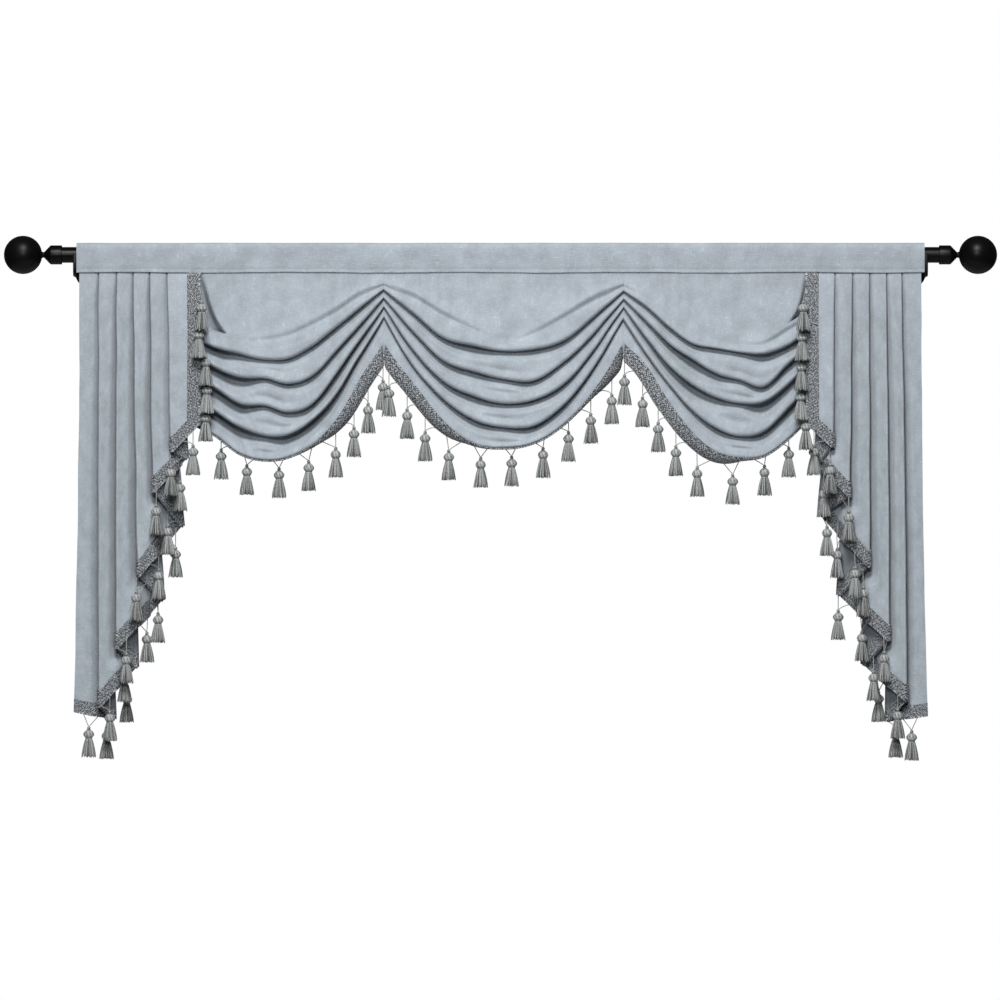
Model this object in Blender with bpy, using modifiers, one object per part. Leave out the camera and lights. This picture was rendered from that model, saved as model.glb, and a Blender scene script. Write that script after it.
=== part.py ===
"""Swag valance in chenille cloth, hanging on a curtain rod between two wall brackets.

The origin lies on the wall plane straight behind the middle of the rod. +X is to the
right of someone looking at the front, the front faces -Y and +Z is up. Tables and
working sizes are in millimetres: x along the rod, forward from the rod's axis towards
the room, and drop below the rod's axis. point() turns the three into metres.
"""

import math
from typing import NamedTuple

import bmesh
import bpy
from mathutils import Matrix, Vector
from mathutils.bvhtree import BVHTree

MM = 0.001

# Rod, finials and brackets
ROD_FROM_WALL = 75.0
ROD_RADIUS = 14.0
ROD_WALL = 1.2
ROD_HALF = 789.7
ROD_SIDES = 24
FINIAL_START = 778.0
BALL_CENTRE = 847.0
BALL_RADIUS = 34.0
COLLAR_RADIUS = 17.0
COLLAR_LENGTH = 20.0
RECESS_DEPTH = 12.0
RECESS_RADIUS = 14.3
NECK_RADIUS = 4.6
NECK_PLACE = 32.0
FINIAL_SIDES = 16
BALL_RINGS = 8
PLATE_RADIUS = 25.0
PLATE_THICKNESS = 5.0
PLATE_X = 733.0
PLATE_DROP = 31.0
ARM_NEAR_X = 752.0
ARM_WIDTH = 5.5
ARM_TOP_DROP = 24.0
ARM_BOTTOM_DROP = 38.0
ARM_ROOT = 2.0
SEAT_RADIUS = 14.4
SEAT_WALL = 4.6
SEAT_RIM = 2.0
ARM_NOSE_RADIUS = 12.0

# Cloth
CLOTH = 2.0
TOP_DROP = 25.0
BELOW_BAND = 34.0
PANEL_OUT = 11.0

# Heading sleeve, folded over the rod
HEADING_HALF = 750.0
BAND_DROP = 31.0
BAND_FRONT = 14.5
SLEEVE_OUT = 17.0
SLEEVE_UP = 19.0
SLEEVE_BACK_TURN = (-15.5, 12.0)
BAND_WAVE = 0.7

# Swags
HEM = 24.0
SEAM_LEAN = 3.0
TOP_LEAN = 8.0
BOTTOM_LEAN = 16.0
HOLLOW = 5.0
OUTER_SET_BACK = 8.0
OUTER_REACH = 70.0
HEM_TURN_REACH = 0.08
SWAG_COLUMNS = 13
FOLD_STEPS = (0.0, 0.22, 0.5, 0.75)
UPPER_STEPS = (0.0, 0.1, 0.35, 0.6, 0.82)
HEM_STEPS = (0.33, 0.66, 1.0)

# Jabots
JABOT_ROWS = (0.1, 0.28, 0.6)
JABOT_DEPTH_REACH = 450.0
BACK_TURN_TOP = 2.0
BACK_TURN_HEM = 6.0
FRONT_TURN_TOP = 1.8
FRONT_TURN_HEM = 3.0
BACK_TURN_ANGLES = (-90, -45, 0, 45, 90)
FRONT_TURN_ANGLES = (-90, 0, 90)

# Braid strips and their tassels
BRAID_HEIGHT = 21.0
BRAID = 1.8
BRAID_OFFSET = 2.7
BRAID_BELOW = 2.5
BRAID_END = 0.01
ROOT_INSIDE = 1.2
ROOT_PROUD = 0.5
ROOT_SPACING = 28.0
TASSEL_PITCH = 52.0
LEG_LENGTH = 20.0
LEG_TAPER = 0.42
LEG_RISE = 6.0
TASSEL_GAP = 1.5
SKIRT_RADIUS = 13.5
SKIRT_HEIGHT = 35.0
SKIRT_INNER = 3.0
EDGE_SIDE_STEP = 6.5
TASSEL_LEAN = 7.0
LEG_GAP = 1.6
WIDTH_SAMPLES = (-0.95, -0.6, -0.3, 0.0, 0.3, 0.6, 0.95)
LEG_SAMPLES = (0.3, 0.6)


class Ring(NamedTuple):
    """One six-sided ring of a tassel: its radius and its height above the knot's middle."""

    radius: float
    height: float


TASSEL_RINGS = (Ring(3.1, 2.0), Ring(2.5, -4.0), Ring(9.0, -11.0), Ring(5.5, -18.0))
TASSEL_HEIGHT = SKIRT_HEIGHT - TASSEL_RINGS[-1].height
TASSEL_SAMPLES = ((0.0, 3.1), (-11.0, 9.0), (-18.0, 6.0), (-30.0, 9.0), (-42.0, 11.5), (-52.5, 13.5))


class Roll(NamedTuple):
    """The crest of one soft roll of a swag: its drop at both seams and the middle."""

    left: float
    middle: float
    right: float
    fullness: float


class Swag(NamedTuple):
    """One swag. outer is -1 or 1 where the left or right end goes behind a jabot.
    tuck is how far the hem turns under, in degrees, at five even places across."""

    name: str
    left: float
    right: float
    outer: int
    rolls: tuple
    tuck: tuple
    first_tassel: float
    tassels: int


SWAGS = (
    Swag(
        name="left",
        left=-545.0,
        right=-208.2,
        outer=-1,
        rolls=(
            Roll(134, 174, 56, 1.9),
            Roll(175, 219, 73, 2.0),
            Roll(215, 266, 90, 2.1),
            Roll(256, 316, 116, 2.2),
            Roll(290, 359, 157, 2.3),
        ),
        tuck=(90, 95, 90, 40, 15),
        first_tassel=48.0,
        tassels=8,
    ),
    Swag(
        name="centre",
        left=-206.4,
        right=217.4,
        outer=0,
        rolls=(
            Roll(59, 169, 60, 1.85),
            Roll(79, 216, 82, 2.0),
            Roll(95, 259, 97, 2.1),
            Roll(115, 303, 117, 2.25),
            Roll(157, 350, 157, 2.4),
        ),
        tuck=(10, 30, 85, 95, 35),
        first_tassel=35.0,
        tassels=10,
    ),
    Swag(
        name="right",
        left=219.4,
        right=548.0,
        outer=1,
        rolls=(
            Roll(57, 167, 139, 1.9),
            Roll(73, 213, 180, 2.0),
            Roll(90, 251, 212, 2.1),
            Roll(116, 309, 245, 2.2),
            Roll(150, 354, 293, 2.3),
        ),
        tuck=(20, 50, 95, 85, 60),
        first_tassel=17.0,
        tassels=8,
    ),
)


class Spread(NamedTuple):
    """How a swag's rolls open from its seam (away 1) to its middle (away 0)."""

    away: float
    depth: float
    overhang: float


SPREADS = (
    Spread(0.0, 10.0, 0.95),
    Spread(0.5, 12.0, 1.15),
    Spread(0.8, 8.0, 1.0),
    Spread(1.0, 3.0, 0.6),
)


class PleatLine(NamedTuple):
    """A fold or an edge of a jabot: its distance from the middle at the top and the hem,
    the drop of its hem, and how far forward it stands at the top and the hem."""

    kind: str
    top_x: float
    hem_x: float
    hem_drop: float
    top_out: float
    hem_out: float


class Jabot(NamedTuple):
    """One pleated tail, from its outer edge to its inner edge."""

    name: str
    side: int
    lines: tuple


JABOTS = (
    Jabot(
        name="left",
        side=-1,
        lines=(
            PleatLine("edge", 746.5, 755.3, 801.0, 11.0, 30.0),
            PleatLine("back", 692.0, 682.0, 823.0, -1.0, 5.0),
            PleatLine("front", 712.0, 713.0, 789.0, 11.0, 45.0),
            PleatLine("back", 661.0, 641.0, 731.0, -1.0, 5.0),
            PleatLine("front", 681.5, 682.0, 683.0, 11.0, 45.0),
            PleatLine("back", 630.0, 596.0, 612.0, -1.0, 5.0),
            PleatLine("front", 651.0, 642.0, 546.0, 11.0, 45.0),
            PleatLine("back", 600.0, 560.0, 481.0, -1.0, 5.0),
            PleatLine("front", 620.4, 615.4, 412.0, 11.0, 47.0),
            PleatLine("back", 571.0, 552.5, 362.0, -1.0, 27.0),
            PleatLine("front", 590.0, 582.0, 341.0, 11.0, 57.0),
            PleatLine("edge", 534.0, 533.0, 300.0, 11.0, 52.0),
        ),
    ),
    Jabot(
        name="right",
        side=1,
        lines=(
            PleatLine("edge", 745.7, 757.0, 812.0, 11.0, 30.0),
            PleatLine("back", 690.0, 682.7, 826.0, -1.0, 5.0),
            PleatLine("front", 710.0, 722.4, 785.4, 11.0, 45.0),
            PleatLine("back", 661.0, 640.0, 725.0, -1.0, 5.0),
            PleatLine("front", 683.0, 689.8, 677.4, 11.0, 45.0),
            PleatLine("back", 630.0, 595.6, 603.0, -1.0, 5.0),
            PleatLine("front", 654.0, 656.0, 541.0, 11.0, 45.0),
            PleatLine("back", 600.0, 561.6, 461.0, -1.0, 5.0),
            PleatLine("front", 623.7, 621.8, 417.0, 11.0, 47.0),
            PleatLine("back", 571.0, 556.0, 371.0, -1.0, 27.0),
            PleatLine("front", 591.5, 588.0, 339.0, 11.0, 57.0),
            PleatLine("edge", 542.4, 542.8, 300.0, 11.0, 52.0),
        ),
    ),
)
JABOT_TASSELS = 21
JABOT_TASSELS_ON_EDGE = 5
FIRST_EDGE_TASSEL = 34.0
EDGE_TASSEL_PITCH = 54.0


def point(x, forward, drop):
    """A place given along the rod, forward of it and below it, in metres."""
    return Vector((x, -(ROD_FROM_WALL + forward), -drop)) * MM


def mix(start, end, share):
    return start + (end - start) * share


def ease(share):
    share = min(max(share, 0.0), 1.0)
    return share * share * (3 - 2 * share)


def read_table(share, values):
    """The value at share, from 0 to 1, of values that stand at even places."""
    place = min(max(share, 0.0), 1.0) * (len(values) - 1)
    index = min(int(place), len(values) - 2)
    return mix(values[index], values[index + 1], place - index)


def spread_at(away):
    """Depth and overhang of a swag's rolls at a share of the way from middle to seam."""
    for low, high in zip(SPREADS, SPREADS[1:]):
        if away <= high.away:
            share = (away - low.away) / (high.away - low.away)
            return mix(low.depth, high.depth, share), mix(low.overhang, high.overhang, share)
    return SPREADS[-1].depth, SPREADS[-1].overhang


def crest_drop(roll, u):
    """Drop of a roll's crest at u, from 0 at the left seam to 1 at the right one."""
    dip = roll.middle - (roll.left + roll.right) / 2
    return mix(roll.left, roll.right, u) + dip * (1 - abs(2 * u - 1) ** roll.fullness)


def crest_slope(swag, roll, u):
    step = 0.004
    low, high = max(u - step, 0.0), min(u + step, 1.0)
    return (crest_drop(roll, high) - crest_drop(roll, low)) / ((high - low) * (swag.right - swag.left))


def panel_out(swag, u, drop):
    """How far forward a swag's panel stands, set back where it goes behind a jabot."""
    if not swag.outer:
        return PANEL_OUT
    width = swag.right - swag.left
    from_outer = (u if swag.outer < 0 else 1 - u) * width
    near_top = 1 - ease((drop - BELOW_BAND) / OUTER_REACH)
    return PANEL_OUT - OUTER_SET_BACK * (1 - ease((from_outer - 14) / OUTER_REACH)) * near_top


def swag_point(swag, u, f):
    """The swag's middle surface. f is 0 at the top edge, 1 to 5 on the crests of its
    rolls and 6 at the cloth's lower edge."""
    x = mix(swag.left, swag.right, u)
    away = abs(2 * u - 1)
    depth, overhang = spread_at(away)
    last = len(swag.rolls)

    def lean(level):
        middle = mix(TOP_LEAN, BOTTOM_LEAN, (level - 1) / (last - 1))
        return mix(middle, SEAM_LEAN, away**1.5)

    if f < 1:
        first = crest_drop(swag.rolls[0], u)
        smooth_start = UPPER_STEPS[1]
        if f <= smooth_start:
            drop = mix(TOP_DROP, BELOW_BAND, f / smooth_start)
            return point(x, panel_out(swag, u, drop), drop)
        share = (f - smooth_start) / (1 - smooth_start)
        drop = mix(BELOW_BAND, first, share)
        out = panel_out(swag, u, drop)
        crest = lean(1) + depth
        hollow = HOLLOW * math.sin(math.pi * away) * math.sin(math.pi * share**2)
        return point(x, out + crest * ease(share) - hollow, drop)
    if f < last:
        index = int(f)
        share = f - index
        upper = crest_drop(swag.rolls[index - 1], u)
        height = crest_drop(swag.rolls[index], u) - upper
        turn = 2 * math.pi * share
        lift = overhang * height / (2 * math.pi) * (1 - math.cos(turn))
        drop = upper + height * share - lift
        return point(x, panel_out(swag, u, drop) + lean(f) + depth * math.cos(turn), drop)
    crest = crest_drop(swag.rolls[-1], u)
    tuck = math.radians(read_table(u, swag.tuck))
    radius = HEM / tuck
    angle = (f - last) * HEM / radius
    along = radius * math.sin(angle)
    back = radius * (1 - math.cos(angle))
    lean_angle = math.atan(crest_slope(swag, swag.rolls[-1], u)) * ease(min(u, 1 - u) / HEM_TURN_REACH)
    out = panel_out(swag, u, crest) + lean(last) + depth
    return point(x - along * math.sin(lean_angle), out - back, crest + along * math.cos(lean_angle))


def swag_columns():
    last = SWAG_COLUMNS - 1
    return [(1 - math.cos(math.pi * index / last)) / 2 for index in range(SWAG_COLUMNS)]


def swag_rows(swag):
    levels = list(UPPER_STEPS)
    for fold in range(1, len(swag.rolls)):
        levels += [fold + step for step in FOLD_STEPS]
    levels += [len(swag.rolls)]
    levels += [len(swag.rolls) + step for step in HEM_STEPS]
    return [[swag_point(swag, u, level) for u in swag_columns()] for level in levels]


def swag_normal(swag, u, f):
    """The direction in which the right side of the cloth faces."""
    step = 0.01
    across = swag_point(swag, min(u + step, 1.0), f) - swag_point(swag, max(u - step, 0.0), f)
    down = swag_point(swag, u, f + step) - swag_point(swag, u, f - step)
    return down.cross(across).normalized()


def swag_braid_point(swag, u, along, proud=0.0):
    """Middle surface of the braid at a length past the last roll's crest, or a place that
    stands proud of it."""
    f = len(swag.rolls) + along / HEM
    return swag_point(swag, u, f) + swag_normal(swag, u, f) * (BRAID_OFFSET + proud) * MM


def braid_columns():
    return [min(max(u, BRAID_END), 1 - BRAID_END) for u in swag_columns()]


def swag_braid_rows(swag):
    top = HEM - BRAID_HEIGHT
    lengths = [top, mix(top, HEM, 1 / 3), mix(top, HEM, 2 / 3), HEM, HEM + BRAID_BELOW]
    return [[swag_braid_point(swag, u, length) for u in braid_columns()] for length in lengths]


def swag_edge(swag):
    """The line on which the tassels of a swag are sewn."""
    along = HEM + BRAID_BELOW - ROOT_INSIDE
    return [swag_braid_point(swag, u, along, ROOT_PROUD) for u in braid_columns()]


def line_place(line, drop):
    """Distance from the middle and forward place of a pleat line at a drop, with the
    share of the way by which the folds have opened."""
    share = (drop - TOP_DROP) / (line.hem_drop - TOP_DROP)
    opened = min(math.sqrt(max(drop - BELOW_BAND, 0.0) / JABOT_DEPTH_REACH), 1.0)
    return mix(line.top_x, line.hem_x, share), mix(line.top_out, line.hem_out, opened), opened


def line_drops(line, slope):
    """The drops of a pleat line's points, from the top edge to the hem."""
    braid_top = line.hem_drop - BRAID_HEIGHT * math.hypot(1, slope)
    opening = [mix(BELOW_BAND, line.hem_drop, share) for share in JABOT_ROWS]
    return [TOP_DROP, BELOW_BAND, *opening, braid_top, line.hem_drop]


def fold_turn(line, drop):
    """The small U-turn that the cloth makes at a pleat line, as (distance, forward)."""
    x, out, opened = line_place(line, drop)
    if line.kind == "edge":
        return [(x, out)]
    if line.kind == "back":
        sign, angles, radius = 1, BACK_TURN_ANGLES, mix(BACK_TURN_TOP, BACK_TURN_HEM, opened)
    else:
        sign, angles, radius = -1, FRONT_TURN_ANGLES, mix(FRONT_TURN_TOP, FRONT_TURN_HEM, opened)
    turn = [math.radians(angle) for angle in angles]
    return [(x + sign * radius * (1 - math.cos(a)), out + radius * (sign + math.sin(a))) for a in turn]


def hem_slopes(jabot):
    """The steepness of the hem at each line, from its two neighbours."""
    lines = jabot.lines
    slopes = []
    for index in range(len(lines)):
        low, high = lines[max(index - 1, 0)], lines[min(index + 1, len(lines) - 1)]
        here = lines[index]
        run = abs(low.hem_x - here.hem_x) + abs(high.hem_x - here.hem_x)
        rise = abs(low.hem_drop - here.hem_drop) + abs(high.hem_drop - here.hem_drop)
        slopes.append(min(rise / max(run, 1.0), 1.4))
    return slopes


def jabot_section(jabot, row):
    """One row of points across a jabot's pleats, from its outer edge to its inner one."""
    section = []
    for index, (line, slope) in enumerate(zip(jabot.lines, hem_slopes(jabot))):
        drop = line_drops(line, slope)[row]
        turn = [(x, out, drop) for x, out in fold_turn(line, drop)]
        if line.kind == "back":
            section.append(tuple(mix(before, after, 0.5) for before, after in zip(section[-1], turn[0])))
        elif index == len(jabot.lines) - 1:
            share = 1 - BRAID_HEIGHT / (section[-1][0] - turn[0][0])
            section.append(tuple(mix(before, after, share) for before, after in zip(section[-1], turn[0])))
        section += turn
    return [point(jabot.side * x, out, drop) for x, out, drop in section]


def jabot_rows(jabot):
    count = len(line_drops(jabot.lines[0], 0.0))
    return [jabot_section(jabot, row) for row in range(count)]


def grid_bmesh(rows):
    """A triangulated grid whose points are moved onto rows, a list of rows of points from
    top to bottom, and a table of its points by (row, column)."""
    bm = bmesh.new()
    last_row, last_column = len(rows) - 1, len(rows[0]) - 1
    bmesh.ops.create_grid(bm, x_segments=last_column, y_segments=last_row, size=0.5)
    bmesh.ops.triangulate(bm, faces=bm.faces[:], quad_method="FIXED")
    table = {}
    for vert in bm.verts:
        row, column = round((vert.co.y + 0.5) * last_row), round((vert.co.x + 0.5) * last_column)
        table[row, column] = vert
        vert.co = rows[row][column]
    bm.normal_update()
    return bm, table


def grid_normals(rows, sign):
    """The normal at each point of a grid, turned round where sign is -1."""
    bm, table = grid_bmesh(rows)
    normals = [[table[row, column].normal * sign for column in range(len(line))]
               for row, line in enumerate(rows)]
    bm.free()
    return normals


def braid_only(bm, table):
    """Takes away a jabot's cells that no braid covers: all but those along its inner edge,
    below the band, and those along its hem."""
    last_row, last_column = max(table)
    cells = {vert: cell for cell, vert in table.items()}
    spare = []
    for face in bm.faces:
        row = min(cells[vert][0] for vert in face.verts)
        column = min(cells[vert][1] for vert in face.verts)
        if row < last_row - 1 and (column < last_column - 1 or row == 0):
            spare.append(face)
    bmesh.ops.delete(bm, geom=spare, context="FACES")


def jabot_braid_rows(jabot):
    """The braid runs over the jabot's right side, down its inner edge and along its hem."""
    rows = jabot_rows(jabot)
    normals = grid_normals(rows, jabot.side)
    braid = [[place + normal * BRAID_OFFSET * MM for place, normal in zip(line, facing)]
             for line, facing in zip(rows, normals)]
    for place in braid[-1]:
        place.z -= BRAID_BELOW * MM
    for line in braid:
        line[-1].x -= jabot.side * BRAID_BELOW * MM
    return braid


def jabot_hem_line(jabot):
    """The sewing line of the hem's tassels, from the inner edge to the outer one."""
    line = [place + Vector((0, 0, ROOT_INSIDE * MM)) for place in jabot_braid_rows(jabot)[-1]]
    return line[::-1]


def jabot_edge_line(jabot):
    """The sewing line down the jabot's inner edge, from the seam to the hem."""
    inside = Vector((jabot.side * ROOT_INSIDE * MM, 0, 0))
    return [line[-1] + inside for line in jabot_braid_rows(jabot)[1:]]


def place_along(line, length):
    """The place at a length in metres along a line of points."""
    for start, end in zip(line, line[1:]):
        step = (end - start).length
        if length <= step:
            return start.lerp(end, length / step)
        length -= step
    return line[-1].copy()


def line_length(line):
    return sum((end - start).length for start, end in zip(line, line[1:]))


def hang(line, middle, side_step=0.0):
    """The two roots and the knot of a tassel sewn around a length along a line."""
    spacing = ROOT_SPACING * MM
    length = LEG_LENGTH * MM
    roots = [place_along(line, middle - spacing / 2), place_along(line, middle + spacing / 2)]
    roots.sort(key=lambda place: -place.z)
    high, low = roots
    fall = high.z - low.z
    across = Vector((low.x - high.x, low.y - high.y, 0))
    if across.length**2 + fall**2 <= 2 * length * fall:
        knot = high - Vector((0, 0, length))
    else:
        halfway = (high + low) / 2
        reach = (low - high).length
        fall_share = across.length / reach
        sink = math.sqrt(max(length**2 - (reach / 2) ** 2, 0.0))
        sideways = -across.normalized() * sink * fall / reach
        knot = halfway + sideways - Vector((0, 0, sink * fall_share))
    knot.x += side_step * MM
    steps = 40
    for step in range(steps + 1):
        tried = high.lerp(low, 1 - step / steps)
        if tried.z >= knot.z + LEG_RISE * MM:
            return high, tried, knot, side_step != 0
    return high, high.lerp(low, 0.5), knot, side_step != 0


def stands_out(radius, height, leans):
    """How far in front of its knot a tassel's ring stands. A leaning tassel lies flat
    against what is behind it, and over the legs of the tassel below."""
    if not leans:
        return 0.0
    return radius - TASSEL_RINGS[0].radius - TASSEL_LEAN * height / TASSEL_HEIGHT


def first_hit(x, z, obstacles):
    """How near the front the foremost obstacle comes at a place, as a Y, or None."""
    start = Vector((x, -1.0, z))
    hits = [tree.ray_cast(start, Vector((0, 1, 0)))[0] for tree in obstacles]
    return min((hit.y for hit in hits if hit), default=None)


def clear_depth(high, low, knot, leans, obstacles):
    """Moves a knot forward until its tassel and legs hang in front of what is behind."""
    front = knot.y
    for height, radius in TASSEL_SAMPLES:
        for share in WIDTH_SAMPLES:
            hit = first_hit(knot.x + share * radius * MM, knot.z + height * MM, obstacles)
            if hit is not None:
                room = radius * math.sqrt(1 - share**2) + TASSEL_GAP - stands_out(radius, height, leans)
                front = min(front, hit - room * MM)
    for root in (high, low):
        for share in LEG_SAMPLES:
            place = knot.lerp(root, share)
            hit = first_hit(place.x, place.z, obstacles)
            if hit is not None:
                needed = hit - LEG_GAP * MM
                front = min(front, (needed - root.y * share) / (1 - share))
    knot.y = front


def fan_of(bm, face):
    """Splits a six-sided face into six triangles, in turning order round its middle."""
    middle = face.calc_center_median()
    fan = bmesh.ops.poke(bm, faces=[face])["faces"]
    places = {part: part.calc_center_median() - middle for part in fan}
    return sorted(fan, key=lambda part: math.atan2(places[part].y, places[part].x)), middle


def triangle_towards(fan, middle, direction, taken=None):
    """The place in a fan of the triangle that faces a direction, apart from one taken."""
    count = len(fan)
    free = [index for index in range(count)
            if taken is None or (index - taken) % count not in (0, 1, count - 1)]
    return max(free, key=lambda index: (fan[index].calc_center_median() - middle).dot(direction))


def pull_leg(bm, face, root):
    """Extrudes one triangle of a knot's top into a leg that ends at its root."""
    end = bmesh.ops.extrude_discrete_faces(bm, faces=[face])["faces"][0]
    centre = end.calc_center_median()
    for vert in end.verts:
        vert.co = root + (vert.co - centre) * LEG_TAPER


def pull_lock(bm, face, waist, foot):
    """Extrudes one triangle of a tassel's waist into a lock of its skirt."""
    end = bmesh.ops.extrude_discrete_faces(bm, faces=[face])["faces"][0]
    outward = (end.calc_center_median() - waist).normalized()
    for vert in end.verts:
        arm = vert.co - waist
        at_middle = arm.length < MM
        vert.co = foot + (outward * SKIRT_INNER if at_middle else arm.normalized() * SKIRT_RADIUS) * MM


def tassel_bmesh(high, low, knot, leans, turned):
    """One tassel: a knot, a bell-shaped head, three locks for its skirt and two legs that
    run up to their roots in the braid."""
    bm = bmesh.new()
    first = TASSEL_RINGS[0]
    place = Matrix.Translation(knot + Vector((0, 0, first.height * MM))) @ Matrix.Rotation(math.radians(30), 4, "Z")
    bmesh.ops.create_circle(bm, segments=6, radius=first.radius * MM, cap_ends=True, matrix=place)
    top = bm.faces[:][0]
    end = top
    for ring in TASSEL_RINGS[1:]:
        made = bmesh.ops.extrude_face_region(bm, geom=[end])["geom"]
        if end is not top:
            bmesh.ops.delete(bm, geom=[end], context="FACES_ONLY")
        end = next(item for item in made if isinstance(item, bmesh.types.BMFace))
        middle = end.calc_center_median()
        centre = knot + Vector((0, -stands_out(*ring, leans), ring.height)) * MM
        for vert in end.verts:
            vert.co = centre + (vert.co - middle).normalized() * ring.radius * MM
    foot_out = stands_out(SKIRT_RADIUS, -TASSEL_HEIGHT, leans) - stands_out(*TASSEL_RINGS[-1], leans)
    locks, waist = fan_of(bm, end)
    foot = waist - Vector((0, foot_out, SKIRT_HEIGHT)) * MM
    for lock in locks[turned % 2::2]:
        pull_lock(bm, lock, waist, foot)
    fan, middle = fan_of(bm, top)
    taken = triangle_towards(fan, middle, high - knot)
    other = triangle_towards(fan, middle, low - knot, taken)
    pull_leg(bm, fan[taken], high)
    pull_leg(bm, fan[other], low)
    bmesh.ops.recalc_face_normals(bm, faces=bm.faces[:])
    return bm


def fill_bmesh(into, source):
    """Adds the shape of one bmesh to another."""
    spare = bpy.data.meshes.new("spare")
    source.to_mesh(spare)
    source.free()
    into.from_mesh(spare)
    bpy.data.meshes.remove(spare)


def tassel_set(name, tassels, obstacles, collection):
    """All the tassels of one braid as a single object."""
    bm = bmesh.new()
    for index, (high, low, knot, leans) in enumerate(tassels):
        clear_depth(high, low, knot, leans, obstacles)
        one = tassel_bmesh(high, low, knot, leans, index)
        if not leans:
            obstacles.append(BVHTree.FromBMesh(one))
        fill_bmesh(bm, one)
    return add_object(name, bm, None, collection)


def swag_tassels(swag):
    line = swag_edge(swag)
    middles = [(swag.first_tassel + TASSEL_PITCH * index) * MM for index in range(swag.tassels)]
    return [hang(line, middle) for middle in middles]


def jabot_tassels(jabot):
    """Tassels in the order in which they hang in front of each other, back ones first."""
    hem = jabot_hem_line(jabot)
    on_hem = JABOT_TASSELS - JABOT_TASSELS_ON_EDGE
    pitch = line_length(hem) / on_hem
    placed = [hang(hem, pitch * (index + 0.5)) for index in reversed(range(on_hem))]
    edge = jabot_edge_line(jabot)
    for index in reversed(range(JABOT_TASSELS_ON_EDGE)):
        middle = (FIRST_EDGE_TASSEL + EDGE_TASSEL_PITCH * index) * MM
        placed.append(hang(edge, middle, -jabot.side * EDGE_SIDE_STEP))
    return placed


def material(name, colour, roughness, metallic=0.0):
    made = bpy.data.materials.new(name)
    made.use_nodes = True
    shader = made.node_tree.nodes["Principled BSDF"]
    shader.inputs["Base Color"].default_value = (*colour, 1.0)
    shader.inputs["Roughness"].default_value = roughness
    shader.inputs["Metallic"].default_value = metallic
    return made


def add_object(name, bm, finish, collection):
    mesh = bpy.data.meshes.new(name)
    bm.to_mesh(mesh)
    bm.free()
    made = bpy.data.objects.new(name, mesh)
    if finish:
        mesh.materials.append(finish)
    collection.objects.link(made)
    return made


def thicken(piece, thickness):
    solid = piece.modifiers.new("cloth thickness", "SOLIDIFY")
    solid.thickness = thickness * MM
    solid.offset = 0.0
    return piece


def cloth_piece(name, rows, finish, collection):
    return thicken(add_object(name, grid_bmesh(rows)[0], finish, collection), CLOTH)


def sleeve_back(x):
    """Forward place of the sleeve's back layer at its lower edge, behind the panels."""
    return mix(PANEL_OUT - 4.0, -5.0, ease((abs(x) - 480.0) / 50.0))


def heading_rows():
    """The sleeve from the lower edge of its back layer, over the rod, to the lower edge of
    its front layer."""
    columns = (-HEADING_HALF, -640, -530, -505, -480, -240, 0, 240, 480, 505, 530, 640, HEADING_HALF)
    turn_out, turn_drop = SLEEVE_BACK_TURN
    rows = [[point(x, sleeve_back(x), BAND_DROP) for x in columns]]
    rows.append([point(x, turn_out, turn_drop) for x in columns])
    for angle in range(180, -1, -30):
        out = SLEEVE_OUT * math.cos(math.radians(angle))
        up = SLEEVE_UP * math.sin(math.radians(angle))
        rows.append([point(x, out, -up) for x in columns])
    rows.append([point(x, BAND_FRONT, BAND_DROP + BAND_WAVE * math.sin(x / 47.0)) for x in columns])
    return rows


def turned_object(name, profile, closed, sides, finish, collection):
    """A profile of radii and heights, turned about its own Z axis."""
    bm = bmesh.new()
    verts = [bm.verts.new((radius * MM, 0, height * MM)) for radius, height in profile]
    for start, end in zip(verts, verts[1:]):
        bm.edges.new((start, end))
    if closed:
        bm.edges.new((verts[-1], verts[0]))
    made = add_object(name, bm, finish, collection)
    screw = made.modifiers.new("turned", "SCREW")
    screw.axis = "Z"
    screw.steps = sides
    screw.render_steps = sides
    screw.use_merge_vertices = True
    screw.merge_threshold = 0.00001
    screw.use_smooth_shade = True
    return made


def build_rod(finish, collection):
    inner = ROD_RADIUS - ROD_WALL
    profile = ((ROD_RADIUS, ROD_HALF), (ROD_RADIUS, -ROD_HALF), (inner, -ROD_HALF), (inner, ROD_HALF))
    rod = turned_object("rod", profile, True, ROD_SIDES, finish, collection)
    rod.rotation_euler = (0, math.radians(90), 0)
    rod.location = point(0, 0, 0)


def finial_profile():
    """Radii and heights above the finial's open end, from the tip of the ball down its
    outside and up again into the recess that takes the rod's end."""
    ball_height = BALL_CENTRE - FINIAL_START
    start = math.asin(NECK_RADIUS / BALL_RADIUS)
    profile = [(0.0, ball_height + BALL_RADIUS)]
    for ring in range(1, BALL_RINGS + 1):
        angle = (math.pi - start) * ring / BALL_RINGS
        profile.append((BALL_RADIUS * math.sin(angle), ball_height + BALL_RADIUS * math.cos(angle)))
    profile += [
        (NECK_RADIUS, NECK_PLACE),
        (COLLAR_RADIUS - 3, COLLAR_LENGTH + 3),
        (COLLAR_RADIUS, COLLAR_LENGTH),
        (COLLAR_RADIUS, 0.0),
        (RECESS_RADIUS, 0.0),
        (RECESS_RADIUS, RECESS_DEPTH),
        (0.0, RECESS_DEPTH),
    ]
    return profile


def build_finial(name, side, finish, collection):
    finial = turned_object(name, finial_profile(), False, FINIAL_SIDES, finish, collection)
    finial.rotation_euler = (0, side * math.radians(90), 0)
    finial.location = point(side * FINIAL_START, 0, 0)


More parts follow.
